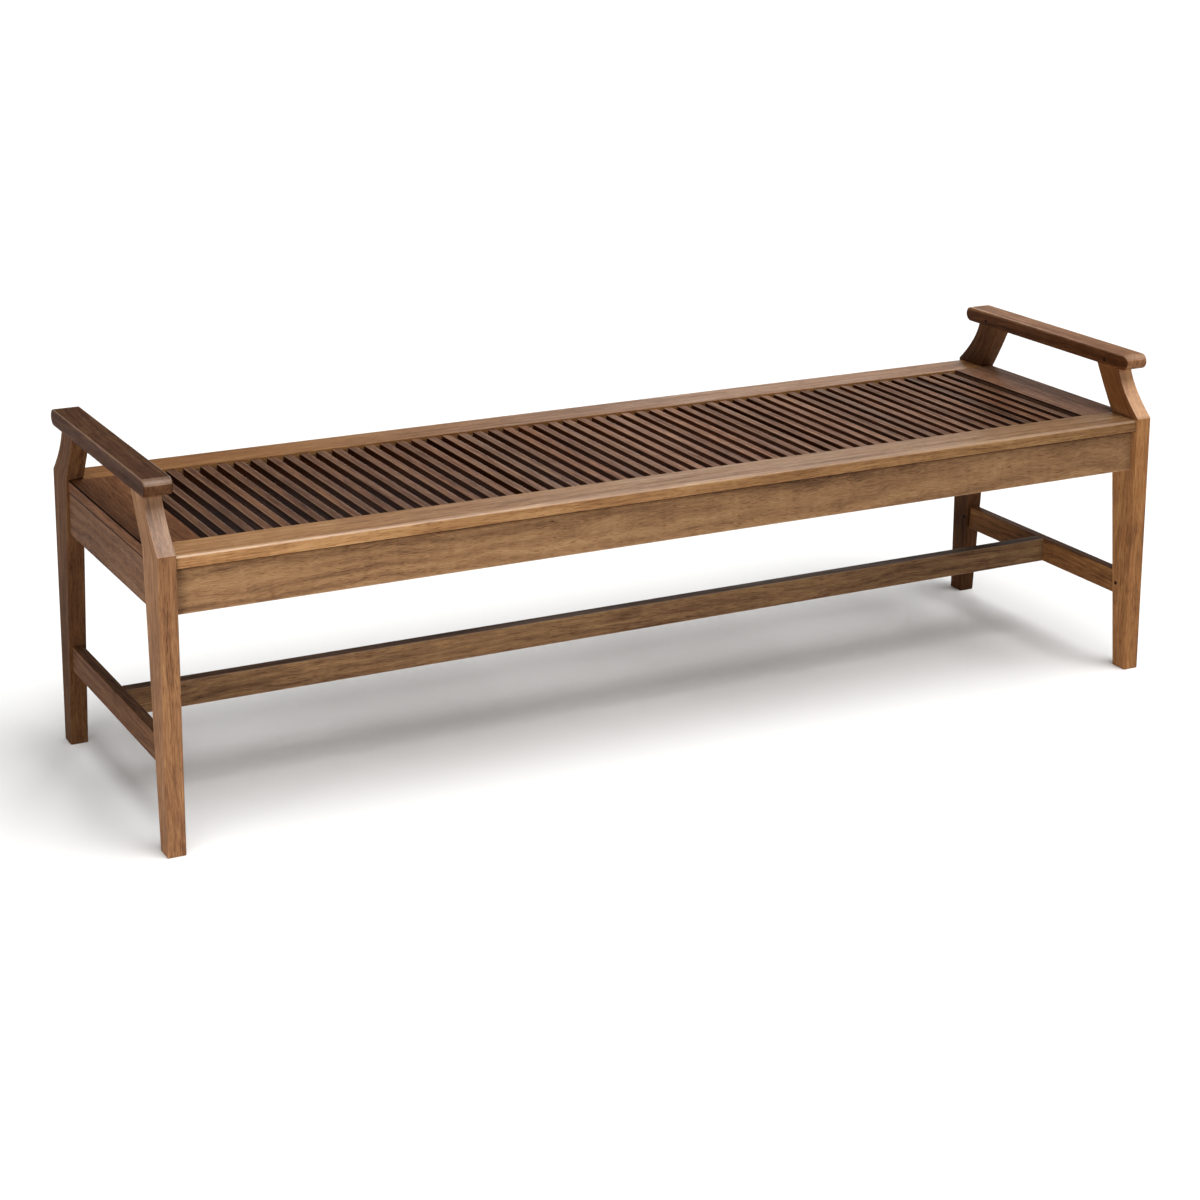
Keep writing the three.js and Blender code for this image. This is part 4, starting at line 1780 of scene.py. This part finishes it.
@dataclass
class Studio:
    """A white floor, a broad soft key from above, a panel behind, a low fill, and the camera."""

    floor_size: float = 120.0
    key_strength: float = 3.3
    key_softness: float = 48.0
    key_bearing: float = 22.0
    key_height: float = 69.0
    panel_power: float = 330.0
    panel_size: tuple[float, float] = (4.0, 4.0)
    panel_place: tuple[float, float, float] = (7.8, 12.8, 4.4)
    fill_power: float = 58.0
    fill_size: tuple[float, float] = (1.6, 0.36)
    fill_place: tuple[float, float, float] = (-2.9, -1.9, 0.22)
    aim_height: float = 0.22
    ambient: float = 0.14
    camera_place: tuple[float, float, float] = (-1.9140, -3.5716, 1.5397)
    camera_bearing: float = 28.138
    camera_drop: float = 13.175
    camera_roll: float = 0.419
    lens: float = 76.438
    sensor: float = 36.0
    shift: tuple[float, float] = (-0.02, -0.20)

    def build(self) -> None:
        """Makes the floor, the lights and the camera."""
        self.make_floor()
        self.make_world()
        self.make_key()
        self.hang_panel("back_panel", self.panel_place, self.panel_size, self.panel_power)
        self.hang_panel("low_fill", self.fill_place, self.fill_size, self.fill_power)
        self.make_camera()
        bpy.context.scene.view_settings.view_transform = "Standard"

    def make_floor(self) -> None:
        """Lays the floor."""
        plan = bmesh.new()
        bmesh.ops.create_grid(plan, x_segments=1, y_segments=1, size=self.floor_size / 2)
        data = bpy.data.meshes.new("studio_floor")
        plan.to_mesh(data)
        plan.free()
        data.materials.append(FloorFinish().material())
        floor = bpy.data.objects.new("studio_floor", data)
        bpy.context.scene.collection.objects.link(floor)

    def make_world(self) -> None:
        """Surrounds the bench with pale walls that give little light of their own."""
        world = bpy.data.worlds.new("studio_walls")
        world.use_nodes = True
        tree = world.node_tree
        tree.nodes.clear()
        rays = add_node(tree, "ShaderNodeLightPath")
        seen = add_node(
            tree, "ShaderNodeBackground", {"Color": linear("#fbfbfa"), "Strength": 1.0}
        )
        given = add_node(
            tree, "ShaderNodeBackground", {"Color": linear("#ffffff"), "Strength": self.ambient}
        )
        mixed = add_node(
            tree,
            "ShaderNodeMixShader",
            {},
            {0: rays.outputs["Is Camera Ray"], 1: given.outputs[0], 2: seen.outputs[0]},
        )
        add_node(tree, "ShaderNodeOutputWorld", {}, {"Surface": mixed.outputs[0]})
        bpy.context.scene.world = world

    def make_key(self) -> None:
        """Hangs the broad key light in front of the bench and above it."""
        light = bpy.data.lights.new("front_key", "SUN")
        light.energy = self.key_strength
        light.angle = math.radians(self.key_softness)
        key = bpy.data.objects.new("front_key", light)
        bearing = math.radians(self.key_bearing)
        height = math.radians(self.key_height)
        source = Vector(
            (
                math.sin(bearing) * math.cos(height),
                -math.cos(bearing) * math.cos(height),
                math.sin(height),
            )
        )
        key.rotation_euler = source.to_track_quat("Z", "Y").to_euler()
        bpy.context.scene.collection.objects.link(key)

    def hang_panel(
        self,
        name: str,
        place: tuple[float, float, float],
        size: tuple[float, float],
        power: float,
    ) -> None:
        """Hangs a soft panel that faces the bench and isn't seen itself.

        Args:
            name: The light's name.
            place: Its middle.
            size: Its width and height.
            power: Its power in watts.
        """
        light = bpy.data.lights.new(name, "AREA")
        light.shape = "RECTANGLE"
        light.size, light.size_y = size
        light.energy = power
        panel = bpy.data.objects.new(name, light)
        panel.location = place
        aim = Vector(place) - Vector((0.0, 0.0, self.aim_height))
        panel.rotation_euler = aim.to_track_quat("Z", "Y").to_euler()
        panel.visible_camera = False
        bpy.context.scene.collection.objects.link(panel)

    def make_camera(self) -> None:
        """Sets up the camera."""
        lens = bpy.data.cameras.new("camera")
        lens.lens = self.lens
        lens.sensor_width = self.sensor
        lens.shift_x, lens.shift_y = self.shift
        lens.clip_end = 200.0
        camera = bpy.data.objects.new("camera", lens)
        bearing = math.radians(self.camera_bearing)
        drop = math.radians(self.camera_drop)
        roll = math.radians(self.camera_roll)
        ahead = Vector(
            (
                math.sin(bearing) * math.cos(drop),
                math.cos(bearing) * math.cos(drop),
                -math.sin(drop),
            )
        )
        level = ahead.cross(Vector((0.0, 0.0, 1.0))).normalized()
        upright = level.cross(ahead)
        right = math.cos(roll) * level + math.sin(roll) * upright
        up = math.cos(roll) * upright - math.sin(roll) * level
        turn = Matrix((right, up, -ahead)).transposed().to_4x4()
        camera.matrix_world = Matrix.Translation(self.camera_place) @ turn
        bpy.context.scene.collection.objects.link(camera)
        bpy.context.scene.camera = camera


# ---------------------------------------------------------------- the bench


def main() -> None:
    """Builds the studio and the bench, piece by piece."""
    logging.basicConfig(level=logging.INFO, format="%(message)s")
    dice = random.Random(1764)
    Studio().build()
    Legs().build(dice)
    Armrests().build(dice)
    SeatFrame().build(dice)
    SlatField().build(dice)
    underframe = Underframe()
    underframe.build(dice)
    Stretchers().build(underframe, dice)
    Pegs().build(dice)


if __name__ == "__main__":
    main()
